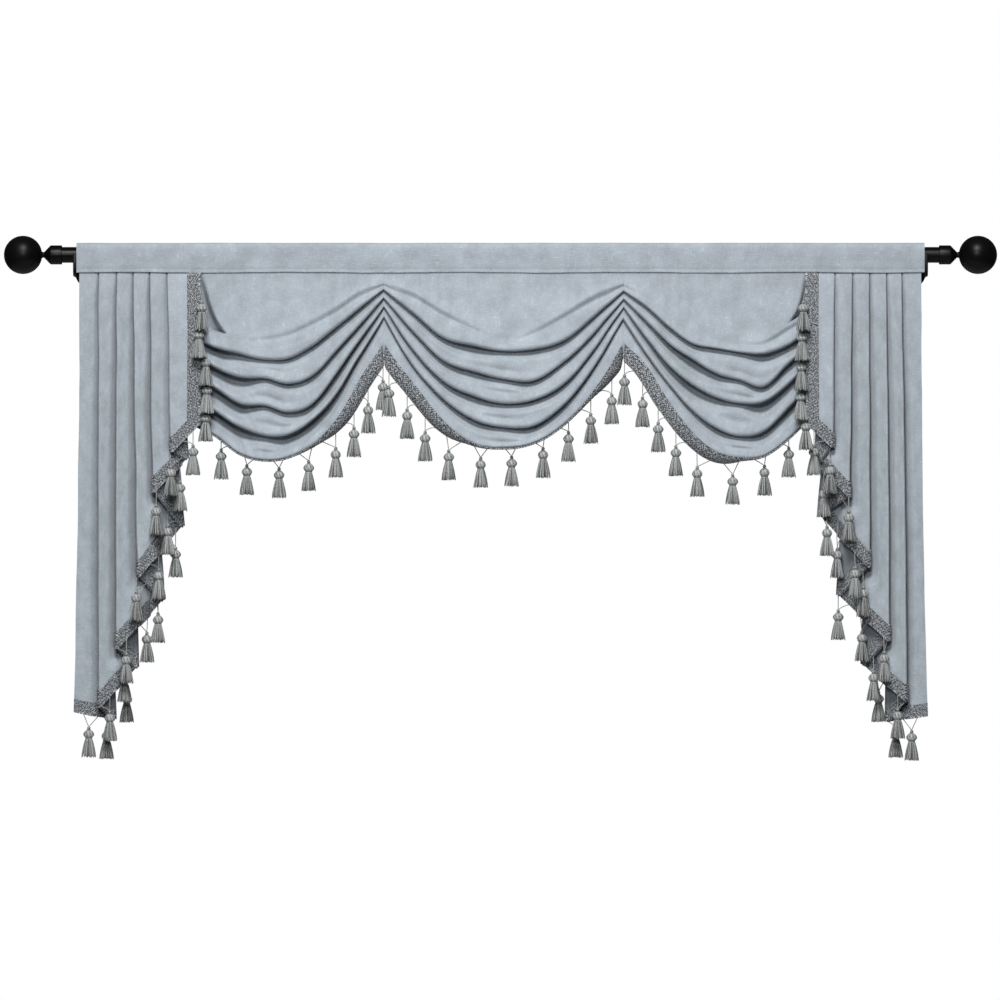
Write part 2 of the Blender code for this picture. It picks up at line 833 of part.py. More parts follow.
def arm_outline():
    """The bracket's arm and its seat for the rod, as (distance from the wall, drop)."""
    seat = [(ROD_FROM_WALL + SEAT_RADIUS * math.cos(math.radians(a)), SEAT_RADIUS * math.sin(math.radians(a)))
            for a in range(0, 181, 20)]
    nose = ROD_FROM_WALL + SEAT_RADIUS + SEAT_WALL
    heel = ROD_FROM_WALL - SEAT_RADIUS - SEAT_WALL
    nose_middle = (nose - ARM_NOSE_RADIUS, ARM_BOTTOM_DROP - ARM_NOSE_RADIUS)
    corner = [(nose_middle[0] + ARM_NOSE_RADIUS * math.sin(math.radians(a)),
               nose_middle[1] + ARM_NOSE_RADIUS * math.cos(math.radians(a))) for a in range(0, 91, 30)]
    outline = [(ARM_ROOT, ARM_TOP_DROP), (ARM_ROOT, ARM_BOTTOM_DROP)]
    outline += corner
    outline += [(nose, -SEAT_RIM), (ROD_FROM_WALL + SEAT_RADIUS, -SEAT_RIM)]
    outline += seat
    outline += [(ROD_FROM_WALL - SEAT_RADIUS, -SEAT_RIM), (heel, -SEAT_RIM), (heel, ARM_TOP_DROP)]
    return outline


def build_bracket(name, side, finish, collection, tools):
    """A round plate on the wall with a flat arm that carries the rod in its seat."""
    curve = bpy.data.curves.new(name + "_outline", "CURVE")
    curve.dimensions = "2D"
    curve.fill_mode = "BOTH"
    curve.extrude = ARM_WIDTH / 2 * MM
    outline = arm_outline()
    spline = curve.splines.new("POLY")
    spline.points.add(len(outline) - 1)
    for control, (away, drop) in zip(spline.points, outline):
        control.co = (-away * MM, -drop * MM, 0, 1)
    spline.use_cyclic_u = True
    flat = bpy.data.objects.new(name + "_outline", curve)
    collection.objects.link(flat)
    flat.matrix_world = Matrix.Translation((side * (ARM_NEAR_X + ARM_WIDTH / 2) * MM, 0, 0)) @ Matrix(
        ((0, 0, 1, 0), (1, 0, 0, 0), (0, 1, 0, 0), (0, 0, 0, 1)))
    bpy.context.view_layer.update()
    graph = bpy.context.evaluated_depsgraph_get()
    mesh = bpy.data.meshes.new_from_object(flat.evaluated_get(graph))
    bm = bmesh.new()
    bm.from_mesh(mesh)
    bmesh.ops.remove_doubles(bm, verts=bm.verts[:], dist=0.00001)
    bmesh.ops.recalc_face_normals(bm, faces=bm.faces[:])
    arm = add_object(name, bm, finish, collection)
    arm.matrix_world = flat.matrix_world
    bpy.data.objects.remove(flat)
    bpy.data.meshes.remove(mesh)

    plate = bmesh.new()
    lying = Matrix.Translation((side * PLATE_X * MM, -PLATE_THICKNESS / 2 * MM, -PLATE_DROP * MM)) @ Matrix.Rotation(
        math.radians(90), 4, "X")
    bmesh.ops.create_cone(plate, segments=32, radius1=PLATE_RADIUS * MM, radius2=PLATE_RADIUS * MM,
                          depth=PLATE_THICKNESS * MM, cap_ends=True, matrix=lying)
    union(arm, add_object(name + "_plate", plate, None, tools))


def union(piece, added):
    added.display_type = "WIRE"
    added.hide_render = True
    joined = piece.modifiers.new("joined", "BOOLEAN")
    joined.operation = "UNION"
    joined.solver = "EXACT"
    joined.object = added


def clear_scene():
    for item in list(bpy.data.objects):
        bpy.data.objects.remove(item, do_unlink=True)


def add_collection(name):
    made = bpy.data.collections.new(name)
    bpy.context.scene.collection.children.link(made)
    return made


def main():
    clear_scene()
    parts = add_collection("chenille_valance_on_rod")
    tools = add_collection("valance_tools")
    tools.hide_render = True

    cloth = material("chenille_cloth", (0.36, 0.40, 0.47), 0.85)
    braid = material("braid_and_tassels", (0.22, 0.24, 0.28), 0.6)
    metal = material("black_metal", (0.012, 0.012, 0.013), 0.4, 0.6)

    build_rod(metal, parts)
    for name, side in (("left", -1), ("right", 1)):
        build_finial("finial_" + name, side, metal, parts)
        build_bracket("bracket_" + name, side, metal, parts, tools)

    pieces = [cloth_piece("heading", heading_rows(), cloth, parts)]
    fringes = []
    for swag in SWAGS:
        pieces.append(cloth_piece("swag_" + swag.name, swag_rows(swag), cloth, parts))
        strip = add_object("fringe_swag_" + swag.name, grid_bmesh(swag_braid_rows(swag))[0], braid, parts)
        fringes.append((thicken(strip, BRAID), swag_tassels(swag)))
    for jabot in JABOTS:
        pieces.append(cloth_piece("jabot_" + jabot.name, jabot_rows(jabot), cloth, parts))
        bm, table = grid_bmesh(jabot_braid_rows(jabot))
        braid_only(bm, table)
        strip = add_object("fringe_jabot_" + jabot.name, bm, braid, parts)
        fringes.append((thicken(strip, BRAID), jabot_tassels(jabot)))

    bpy.context.view_layer.update()
    graph = bpy.context.evaluated_depsgraph_get()
    hung = pieces + [strip for strip, _ in fringes]
    obstacles = [BVHTree.FromObject(piece, graph) for piece in hung]
    for strip, tassels in fringes:
        union(strip, tassel_set(strip.name + "_tassels", tassels, obstacles, tools))


main()
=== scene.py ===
"""Looks of the chenille swag valance: its cloth, braid and tassels, and the satin black rod.

Laid out as an add-on and run as a script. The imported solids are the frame, and every piece
here stands where they do. Tables and working sizes are in millimetres: x along the rod,
forward from the rod's axis towards the room, and drop below that axis. point() turns the
three into metres. The right side of the cloth faces -Y and +Z is up.
"""

import math
import random
from typing import NamedTuple

import bmesh
import bpy
from mathutils import Matrix, Vector, noise
from mathutils.bvhtree import BVHTree


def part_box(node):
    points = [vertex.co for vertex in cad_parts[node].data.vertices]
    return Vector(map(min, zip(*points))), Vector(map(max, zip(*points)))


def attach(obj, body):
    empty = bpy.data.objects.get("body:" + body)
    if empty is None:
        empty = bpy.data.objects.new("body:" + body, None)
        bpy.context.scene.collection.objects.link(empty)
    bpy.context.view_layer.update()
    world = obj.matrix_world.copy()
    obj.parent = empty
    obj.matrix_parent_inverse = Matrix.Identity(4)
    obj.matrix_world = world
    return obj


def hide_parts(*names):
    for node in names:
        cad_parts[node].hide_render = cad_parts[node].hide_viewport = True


bl_info = {
    "name": "Chenille Swag Valance",
    "version": (1, 0, 0),
    "blender": (4, 5, 0),
    "location": "View3D > Sidebar > Valance",
    "description": "Three swags and two pleated tails with tasselled braid, on a black rod",
    "category": "Add Mesh",
}

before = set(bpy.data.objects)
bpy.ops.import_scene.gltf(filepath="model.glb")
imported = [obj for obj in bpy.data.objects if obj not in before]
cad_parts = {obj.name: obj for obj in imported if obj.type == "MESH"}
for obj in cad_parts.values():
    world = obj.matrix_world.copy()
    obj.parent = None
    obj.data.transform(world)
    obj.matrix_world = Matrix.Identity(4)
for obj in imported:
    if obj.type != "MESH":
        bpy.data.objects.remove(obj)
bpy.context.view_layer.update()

# The unevenness of the cloth starts from this seed, so that each run is the same.
NOISE_SEED = 1
noise.seed_set(NOISE_SEED)

MM = 0.001
PATTERN = "pattern"

# Rod, finials and brackets
ROD_FROM_WALL = 75.0
ROD_RADIUS = 14.0
ROD_WALL = 1.2
FINIAL_START = 778.0
BALL_CENTRE = 847.0
BALL_RADIUS = 34.0
COLLAR_RADIUS = 17.0
COLLAR_LENGTH = 20.0
COLLAR_TAPER = (14.0, 23.0)
NECK_RADIUS = 4.6
NECK_PLACE = 32.0
NECK_END = 37.0
RECESS_RADIUS = 14.3
RECESS_DEPTH = 12.0
PLATE_RADIUS = 25.0
PLATE_THICKNESS = 5.0
PLATE_X = 733.0
PLATE_DROP = 31.0
ARM_NEAR_X = 752.0
ARM_WIDTH = 5.5
ARM_TOP_DROP = 24.0
ARM_BOTTOM_DROP = 38.0
ARM_ROOT = 2.0
SEAT_RADIUS = 14.4
SEAT_WALL = 4.6
SEAT_RIM = 2.0
ARM_NOSE_RADIUS = 12.0

# Cloth
TOP_DROP = 25.0
BELOW_BAND = 34.0
PANEL_OUT = 11.0
LOOSE_REACH = 90.0

# Heading sleeve, folded over the rod
HEADING_HALF = 751.5
BAND_DROP = 31.0
BAND_FRONT = 13.3
SLEEVE_OUT = 16.0
SLEEVE_UP = 20.2
SLEEVE_BACK_TURN = (-15.5, 12.0)
SLEEVE_STEPS = 24
SQUARENESS = 0.42
BACK_STEPS = 5
BEHIND_SWAGS = PANEL_OUT - 4.0
BEHIND_JABOTS = -5.0
JABOTS_START = 480.0
JABOTS_REACH = 50.0
BAND_WAVE = 0.7
UNEVEN = 0.5
UNEVEN_LENGTH = 60.0
UNEVEN_TURN = 9.0
HEADING_COLUMN = 5.0
# How proud the front layer stands, with a dip at its seam, by the share of the way down it.
BAND_RELIEF = ((0.2, 0.0), (0.4, 0.1), (0.6, 0.1), (0.78, 0.2), (0.86, -0.5), (0.93, 0.7), (1.0, 0.3))

# Swags
HEM = 24.0
SEAM_LEAN = 3.0
TOP_LEAN = 5.0
BOTTOM_LEAN = 16.0
LEAN_POWER = 1.5
HOLLOW = 5.0
GROOVE_LIFT = 0.3
GROOVE_ENTRY = 0.2
GROOVE_FLOOR = 0.4
MOST_DEPTH = 0.9
LIP_RADIUS = 7.0
LIP_SHARE = 0.25
FACE_TILT = 4.0
CREASE_RISE = 0.13
RECESS_HEIGHT = 125.0
RECESS_TOP = 4.0
RECESS_DEEPEST = 54.0
RECESS_SIDE = 10.0
RECESS_CLOSE = 7.0
BELOW_RECESS = 200.0
HEM_TURN_REACH = 0.08
TIGHT_TURN = 6.0
TIGHT_FROM = 60.0
TIGHT_OVER = 50.0
UPPER_START = 0.1
UPPER_ROWS = 40
FIRST_FOLD_ROWS = 24
FOLD_ROWS = 30
HEM_ROWS = 9
SWAG_COLUMN = 3.5

# Jabots
JABOT_DEPTH_REACH = 450.0
BACK_TURN = (2.0, 6.0)
FRONT_TURN = (1.8, 3.0)
TURN_STEPS = 8
FACET_STEPS = 12
EDGE_STEPS = 6
BRAID_FACET_STEPS = 30
JABOT_ROW = 7.0
FLAT_FACE = 0.12
EDGE_FLARE = 2.5
FACE_TURN = (5.0, 20.0)
TURN_POWER = 1.7
TURN_RANGE = (0.3, 0.85)
TURN_POINTS = (0.3, 0.8)
STEEPEST_HEM = 1.4
UNCOVERED = 16.0
BOUND_ROWS = 3

# Braid strips and their tassels
BRAID_HEIGHT = 21.0
BRAID_OFFSET = 2.7
BRAID_BELOW = 2.5
BRAID_END = 0.01
BRAID_CELL = 1.2
LOZENGE = 2.4
ROOT_INSIDE = 1.2
ROOT_PROUD = 0.5
ROOT_SPACING = 28.0
LEG_LENGTH = 27.0
LEG_RISE = 6.0
TASSEL_GAP = 1.0
KNOT_RADIUS = 3.1
SKIRT_RADIUS = 13.5
SKIRT_HEIGHT = 35.0
WAIST_HEIGHT = -18.0
TASSEL_HEIGHT = SKIRT_HEIGHT - WAIST_HEIGHT
TASSEL_LEAN = 7.0
LEG_GAP = 1.6
LEG_BEHIND = 8.0
LEG_RADIUS = 0.8
LEG_TWIST = 0.8
PLY_BULGE = 0.22
ANY_DIRECTION = Vector((0.31, 0.94, 0.12))
HEAD_MIDDLE = -11.0
HEAD_RADIUS = 9.0
HEAD_HALF_HEIGHT = 8.2
HEAD_LOBES = 8
HEAD_SWIRL = 3.0
SKIRT_TOP_RADIUS = 5.2
STRAND_RADII = (0.55, 0.75, 0.9, 1.0, 1.0, 0.6)
# Size of the dark cone of painted shade inside a tassel's skirt.
SHADE_CORE_RADII = (8.5, 4.6)
SHADE_CORE_HEIGHT = SKIRT_HEIGHT - 3
WIDTH_SAMPLES = (-0.95, -0.6, -0.3, 0.0, 0.3, 0.6, 0.95)
LEG_SAMPLES = (0.3, 0.6)
JABOT_HEM_TASSELS = 16
FIRST_EDGE_TASSEL = 43.0

# Camera and lights
LOOK_AT = (0.0, -0.1, -0.4)
LIGHT_SPREAD = 60.0
LENS = 300.0
SENSOR = 36.0
PICTURE_WIDTH = 1.771
PICTURE_MIDDLE = (-0.0009, -0.1, -0.4348)


class Waver(NamedTuple):
    """One size of the unevenness of hanging cloth: its length across and down, which
    draw of it is used, and how far it moves the cloth."""

    across: float
    down: float
    draw: float
    size: float


WAVERS = (Waver(95.0, 120.0, 3.7, 1.6), Waver(38.0, 45.0, 9.1, 0.5))


class Groove(NamedTuple):
    """How much of a fold's height its groove takes: for each millimetre of its depth, in
    any case, and as a share of the height at most."""

    per_depth: float
    least: float
    most: float


FIRST_GROOVE = Groove(2.2, 12.0, 0.9)
LOWER_GROOVE = Groove(0.95, 9.0, 0.88)


class StrandRing(NamedTuple):
    """A ring of strands in a tassel's skirt: how many, how far out, and the range of their tones, which is
    darker for the inner rings as painted shade inside the skirt.
    """

    strands: int
    reach: float
    tones: tuple


# Tones differ at random from strand to strand, and the inner rings get darker ones as painted shade inside
# the skirt.
STRAND_RINGS = (
    StrandRing(40, 1.0, (0.25, 1.0)),
    StrandRing(22, 0.72, (0.1, 0.7)),
    StrandRing(10, 0.36, (0.0, 0.4)),
)


class ThreadRing(NamedTuple):
    """Thread bound round a tassel: its height, its radius, how thick it is and its tone."""

    height: float
    major: float
    minor: float
    tone: float


THREAD_RINGS = (
    ThreadRing(-3.2, 2.9, 0.9, 0.25),
    ThreadRing(-17.6, 5.3, 1.0, 0.2),
    ThreadRing(-19.2, 5.5, 0.8, 0.75),
)


class StudioLight(NamedTuple):
    """A soft light, with its place and size in metres and its power in watts."""

    name: str
    place: tuple
    size: tuple
    power: float


LIGHTS = (
    StudioLight("high front light", (-0.35, -5.4, 4.8), (2.4, 2.4), 75.0),
    StudioLight("front light", (-0.5, -7.0, 1.6), (1.0, 1.0), 20.0),
)


class Girth(NamedTuple):
    """How thick a tassel is at a height above the middle of its knot."""

    height: float
    radius: float


GIRTHS = (
    Girth(2.0, 3.1),
    Girth(-4.0, 3.6),
    Girth(-11.0, 9.0),
    Girth(-18.0, 6.0),
    Girth(-30.0, 9.0),
    Girth(-42.0, 11.5),
    Girth(-53.0, 13.5),
)


class FoldLine(NamedTuple):
    """The lower lip of a soft fold: its drop at nine even places across a swag, and how
    deep the groove under it is at each of them."""

    drops: tuple
    depths: tuple


class Crease(NamedTuple):
    """A small soft ridge between two folds, or a dip where its height is below 0: its
    level, its place and reach across the swag, its slant and how proud it stands."""

    level: float
    at: float
    reach: float
    slant: float
    height: float


class Recess(NamedTuple):
    """Where a swag's panel falls back beside a jabot: the recess's width at the top, and
    how it widens further down."""

    start: float
    slope: float
    curve: float
    power: float


class Swag(NamedTuple):
    """One swag. outer is -1 or 1 where the left or right end goes behind a jabot. tucks is
    how far the hem turns under, in degrees. cut is the flat cloth's width and length and
    its area, in metres."""

    name: str
    left: float
    right: float
    outer: int
    folds: tuple
    tucks: tuple
    creases: tuple
    recess: Recess
    first_tassel: float
    tassel_pitch: float
    tassels: int
    cut: tuple


SWAGS = (
    Swag(
        name="left",
        left=-545.0,
        right=-207.2,
        outer=-1,
        folds=(
            FoldLine((134, 141, 147, 144, 134, 113, 90, 63, 50), (0, 0, 0, 2, 3, 5, 7, 6, 3)),
            FoldLine((146, 166, 176, 186, 184, 161, 128, 94, 61), (32, 30, 16, 6, 9, 12, 12, 10, 6)),
            FoldLine((174, 202, 217, 219, 229, 214, 170, 123, 76), (30, 30, 27, 10, 11, 14, 14, 12, 6)),
            FoldLine((212, 238, 264, 267, 279, 264, 211, 150, 92), (32, 32, 27, 11, 13, 20, 25, 18, 6)),
            FoldLine((250, 279, 305, 320, 318, 293, 247, 178, 110), (36, 36, 32, 16, 28, 34, 26, 18, 7)),
            FoldLine((296, 317, 349, 360, 355, 332, 287, 215, 152), (0,) * 9),
        ),
        tucks=(115, 115, 115, 115, 110, 95, 70, 45, 20),
        creases=(
            Crease(2.50, 0.38, 0.12, 0.3, -3.0),
            Crease(3.69, 0.41, 0.11, 0.0, -4.5),
            Crease(4.64, 0.42, 0.12, 0.2, -4.5),
            Crease(5.74, 0.42, 0.12, -0.2, -4.5),
            Crease(1.72, 0.62, 0.16, 0.5, 1.5),
            Crease(3.45, 0.70, 0.10, 0.6, -2.0),
        ),
        recess=Recess(14.7, 30.0, 35.0, 5.0),
        first_tassel=69.0,
        tassel_pitch=49.0,
        tassels=8,
        cut=(0.50, 0.62, 0.187),
    ),
    Swag(
        name="centre",
        left=-207.2,
        right=218.4,
        outer=0,
        folds=(
            FoldLine((50, 66, 98, 125, 148, 131, 101, 69, 50), (3, 5, 5, 2, 0, 3, 5, 8, 4)),
            FoldLine((61, 104, 148, 162, 171, 167, 151, 110, 64), (5, 8, 12, 19, 9, 12, 11, 8, 5)),
            FoldLine((75, 136, 188, 207, 220, 222, 188, 139, 79), (5, 8, 12, 16, 9, 12, 10, 8, 5)),
            FoldLine((90, 169, 225, 250, 263, 256, 227, 167, 94), (5, 8, 13, 18, 10, 14, 14, 8, 5)),
            FoldLine((108, 198, 257, 292, 305, 302, 264, 197, 114), (5, 6, 10, 16, 10, 18, 17, 11, 5)),
            FoldLine((152, 224, 290, 330, 339, 329, 295, 233, 153), (0,) * 9),
        ),
        tucks=(20, 40, 65, 95, 112, 115, 110, 85, 45),
        creases=(
            Crease(2.71, 0.49, 0.10, 0.0, -4.0),
            Crease(3.56, 0.49, 0.09, 0.1, -4.0),
            Crease(4.65, 0.48, 0.10, -0.1, -4.0),
            Crease(5.80, 0.49, 0.10, 0.1, -3.5),
            Crease(2.45, 0.26, 0.09, -0.6, 1.8),
            Crease(4.35, 0.62, 0.07, 0.5, 3.0),
            Crease(3.50, 0.76, 0.10, 0.5, -2.0),
        ),
        recess=Recess(0.0, 0.0, 0.0, 1.0),
        first_tassel=42.0,
        tassel_pitch=51.0,
        tassels=10,
        cut=(0.62, 0.62, 0.187),
    ),
    Swag(
        name="right",
        left=218.4,
        right=548.0,
        outer=1,
        folds=(
            FoldLine((52, 72, 106, 138, 152, 156, 150, 126, 104), (2, 0, 0, 0, 0, 1, 4, 5, 2)),
            FoldLine((64, 93, 130, 158, 166, 173, 175, 161, 136), (5, 8, 10, 12, 12, 10, 22, 18, 20)),
            FoldLine((78, 119, 159, 186, 211, 222, 233, 195, 162), (5, 9, 19, 27, 18, 9, 14, 22, 24)),
            FoldLine((92, 149, 199, 231, 253, 263, 260, 231, 192), (5, 12, 22, 28, 18, 9, 30, 24, 24)),
            FoldLine((114, 178, 233, 278, 307, 321, 313, 274, 232), (5, 7, 5, 10, 15, 9, 20, 26, 28)),
            FoldLine((153, 194, 259, 313, 345, 355, 353, 324, 282), (0,) * 9),
        ),
        tucks=(20, 25, 30, 45, 65, 90, 110, 115, 115),
        creases=(
            Crease(2.75, 0.65, 0.11, 0.1, -4.0),
            Crease(3.70, 0.63, 0.10, 0.0, -4.0),
            Crease(4.58, 0.60, 0.11, 0.2, -3.5),
            Crease(5.66, 0.63, 0.11, 0.1, -4.0),
            Crease(3.40, 0.30, 0.10, -0.7, 1.8),
        ),
        recess=Recess(7.0, 15.0, 75.0, 4.0),
        first_tassel=22.0,
        tassel_pitch=52.5,
        tassels=8,
        cut=(0.50, 0.62, 0.165),
    ),
)


class Spread(NamedTuple):
    """How far a swag's folds stand off its panel, and how full they are, from its middle
    (away 0) to its seams (away 1)."""

    away: float
    stand: float
    fullness: float


SPREADS = (
    Spread(0.0, 8.0, 6.0),
    Spread(0.5, 9.0, 6.5),
    Spread(0.8, 6.0, 4.5),
    Spread(1.0, 2.5, 2.5),
)


class PleatLine(NamedTuple):
    """A fold or an edge of a jabot: its distance from the middle at the top and the hem,
    the drop of its hem, and how far forward it stands at the top and the hem."""

    kind: str
    top_x: float
    hem_x: float
    hem_drop: float
    top_out: float
    hem_out: float


class Jabot(NamedTuple):
    """One pleated tail, from its outer edge to its inner edge. beside is how far each
    tassel of the inner edge hangs beside it, and edge_pitch is the length between two.
    cut is the flat cloth's width and length and its area, in metres."""

    name: str
    side: int
    lines: tuple
    beside: tuple
    edge_pitch: float
    cut: tuple


JABOTS = (
    Jabot(
        name="left",
        side=-1,
        lines=(
            PleatLine("edge", 746.5, 755.3, 808.0, 11.0, 30.0),
            PleatLine("back", 692.0, 682.0, 823.0, -1.0, 5.0),
            PleatLine("front", 711.0, 709.5, 799.0, 11.0, 45.0),
            PleatLine("back", 661.0, 641.0, 731.0, -1.0, 5.0),
            PleatLine("front", 679.0, 679.0, 696.0, 11.0, 45.0),
            PleatLine("back", 630.0, 596.0, 612.0, -1.0, 5.0),
            PleatLine("front", 650.0, 641.0, 569.0, 11.0, 45.0),
            PleatLine("back", 600.0, 560.0, 481.0, -1.0, 5.0),
            PleatLine("front", 620.4, 614.0, 420.0, 11.0, 47.0),
            PleatLine("back", 571.0, 552.5, 362.0, -1.0, 27.0),
            PleatLine("front", 590.0, 582.0, 348.0, 11.0, 57.0),
            PleatLine("edge", 534.0, 533.0, 300.0, 11.0, 52.0),
        ),
        beside=(3.5, -1.8, 10.6, 12.4, 10.6),
        edge_pitch=50.5,
        cut=(0.66, 0.80, 0.38),
    ),
    Jabot(
        name="right",
        side=1,
        lines=(
            PleatLine("edge", 745.7, 757.0, 815.0, 11.0, 30.0),
            PleatLine("back", 690.0, 682.7, 826.0, -1.0, 5.0),
            PleatLine("front", 710.0, 718.5, 788.0, 11.0, 45.0),
            PleatLine("back", 661.0, 640.0, 725.0, -1.0, 5.0),
            PleatLine("front", 683.0, 687.0, 682.0, 11.0, 45.0),
            PleatLine("back", 630.0, 595.6, 603.0, -1.0, 5.0),
            PleatLine("front", 653.0, 652.0, 552.0, 11.0, 45.0),
            PleatLine("back", 600.0, 561.6, 461.0, -1.0, 5.0),
            PleatLine("front", 623.0, 617.5, 427.0, 11.0, 47.0),
            PleatLine("back", 571.0, 556.0, 371.0, -1.0, 27.0),
            PleatLine("front", 591.5, 588.0, 339.0, 11.0, 57.0),
            PleatLine("edge", 542.4, 542.8, 300.0, 11.0, 52.0),
        ),
        beside=(5.0, 6.7, 8.5, 10.3, 1.5),
        edge_pitch=53.0,
        cut=(0.66, 0.80, 0.39),
    ),
)


def point(x, forward, drop):
    """A place given along the rod, forward of it and below it, in metres."""
    return Vector((x, -(ROD_FROM_WALL + forward), -drop)) * MM


def mix(start, end, share):
    return start + (end - start) * share


def ease(share):
    share = min(max(share, 0.0), 1.0)
    return share * share * (3 - 2 * share)


def bell(distance):
    """A soft hump that is 1 at no distance and nearly 0 from 2 on."""
    return math.exp(-distance * distance)


def cloth_point(x, forward, drop):
    """A place on hanging cloth. The further it is below the band, the more it wavers.
    Layers that hang one behind the other waver together, so that they never cross."""
    loose = ease((drop - BELOW_BAND) / LOOSE_REACH)
    shift = Vector()
    for waver in WAVERS:
        place = Vector((x / waver.across, drop / waver.down, waver.draw))
        shift += noise.noise_vector(place) * waver.size
    shift *= loose
    return point(x + shift.x, forward + shift.y, drop + shift.z)


def across(values, u):
    """The value at u, from 0 to 1, on a smooth curve through values at even places."""
    place = min(max(u, 0.0), 1.0) * (len(values) - 1)
    index = min(int(place), len(values) - 2)
    start, end = values[index], values[index + 1]
    before = values[index - 1] if index else 2 * start - end
    after = values[index + 2] if index + 2 < len(values) else 2 * end - start
    t = place - index
    bend = 2 * before - 5 * start + 4 * end - after
    twist = -before + 3 * start - 3 * end + after
    return start + 0.5 * t * (end - before + t * (bend + t * twist))


def spread_at(away):
    """How far a swag's folds stand off and how full they are, between middle and seam."""
    for low, high in zip(SPREADS, SPREADS[1:]):
        if away <= high.away:
            share = ease((away - low.away) / (high.away - low.away))
            return mix(low.stand, high.stand, share), mix(low.fullness, high.fullness, share)
    return SPREADS[-1].stand, SPREADS[-1].fullness


def fold_drop(swag, index, u):
    return across(swag.folds[index].drops, u)


def edge_slope(swag, u):
    """The slope of a swag's lowest fold."""
    step = 0.004
    low, high = max(u - step, 0.0), min(u + step, 1.0)
    run = (high - low) * (swag.right - swag.left)
    return (fold_drop(swag, -1, high) - fold_drop(swag, -1, low)) / run


def panel_out(swag, u, drop):
    """How far forward a swag's panel stands. Beside a jabot it falls back behind a curved
    edge, down to the first fold."""
    if not swag.outer:
        return PANEL_OUT
    from_outer = (u if swag.outer < 0 else 1 - u) * (swag.right - swag.left)
    below = min(max((drop - BELOW_BAND) / RECESS_HEIGHT, 0.0), 1.2)
    recess = swag.recess
    edge = recess.start + recess.slope * below + recess.curve * below**recess.power
    depth = mix(RECESS_TOP, RECESS_DEEPEST, below)
    open_share = 1 - ease((drop - fold_drop(swag, 0, u) + RECESS_CLOSE) / RECESS_CLOSE)
    inside = 1 - ease((from_outer - edge + RECESS_SIDE / 2) / RECESS_SIDE)
    return PANEL_OUT - depth * inside * open_share


def crease_height(swag, u, f):
    """How far the small ridges and dips between the folds move the cloth forward."""
    total = 0.0
    for crease in swag.creases:
        beside = (u - crease.at) / crease.reach
        level = crease.level + crease.slant * (u - crease.at)
        total += crease.height * bell(beside) * bell((f - level) / CREASE_RISE)
    return total


def fold_front(swag, u, f):
    """How far the front of a swag's folds stands off its panel."""
    away = abs(2 * u - 1)
    last = len(swag.folds)
    middle = mix(TOP_LEAN, BOTTOM_LEAN, (f - 1) / (last - 1))
    return mix(middle, SEAM_LEAN, away**LEAN_POWER) + spread_at(away)[0]


def swag_upper(swag, u, f):
    """The smooth panel between the heading and the first fold."""
    x = mix(swag.left, swag.right, u)
    if f <= UPPER_START:
        drop = mix(TOP_DROP, BELOW_BAND, f / UPPER_START)
        return cloth_point(x, panel_out(swag, u, drop), drop)
    away = abs(2 * u - 1)
    share = (f - UPPER_START) / (1 - UPPER_START)
    drop = mix(BELOW_BAND, fold_drop(swag, 0, u), share)
    hollow = HOLLOW * math.sin(math.pi * away) * math.sin(math.pi * share**2)
    lean = fold_front(swag, u, 1) * ease(share)
    return cloth_point(x, panel_out(swag, u, drop) + lean - hollow, drop)


def lip_radius(swag, index, u):
    """How round the lip at a fold line is. The first line has none, and the last one goes
    on into the hem."""
    if index in (0, len(swag.folds) - 1):
        return 0.0
    height = fold_drop(swag, index, u) - fold_drop(swag, index - 1, u)
    return min(LIP_RADIUS, LIP_SHARE * height)


def place_in_groove(groove, depth, drop, height):
    """How far down a groove a drop below the lip above lies, from 0 to 1 at its end."""
    return min(drop / min(groove.per_depth * depth + groove.least, groove.most * height), 1.0)


def swag_fold(swag, u, f):
    """A soft fold. Under the lip above it the cloth goes up and back into a groove, comes
    forward to a face that tilts up, and turns under at its own rounded lip."""
    index = int(f)
    share = f - index
    above = fold_drop(swag, index - 1, u)
    height = fold_drop(swag, index, u) - above
    depth = min(max(across(swag.folds[index - 1].depths, u), 0.0), MOST_DEPTH * height)
    if index == 1:
        in_groove = place_in_groove(FIRST_GROOVE, depth, share * height, height)
        back, raised = depth * math.sin(math.pi * in_groove) ** 2, 0.0
        back -= spread_at(abs(2 * u - 1))[1] * ease(share)
    else:
        in_groove = place_in_groove(LOWER_GROOVE, depth, share * height, height)
        going_in = 1 - max(1 - in_groove / GROOVE_ENTRY, 0.0) ** 2
        open_share = 1 - ease((in_groove - GROOVE_FLOOR) / (1 - GROOVE_FLOOR))
        back = (lip_radius(swag, index - 1, u) + depth * going_in) * open_share
        raised = GROOVE_LIFT * depth * going_in * open_share
        back += FACE_TILT * (1 - share) * going_in - spread_at(abs(2 * u - 1))[1]
    radius = lip_radius(swag, index, u)
    if radius:
        near = max(1 - (1 - share) * height / radius, 0.0)
        back += radius * (1 - math.sqrt(1 - near * near))
    drop = above + height * share - raised
    out = fold_front(swag, u, f) - back + crease_height(swag, u, f)
    panel = panel_out(swag, u, drop + BELOW_RECESS)
    return cloth_point(mix(swag.left, swag.right, u), panel + out, drop)


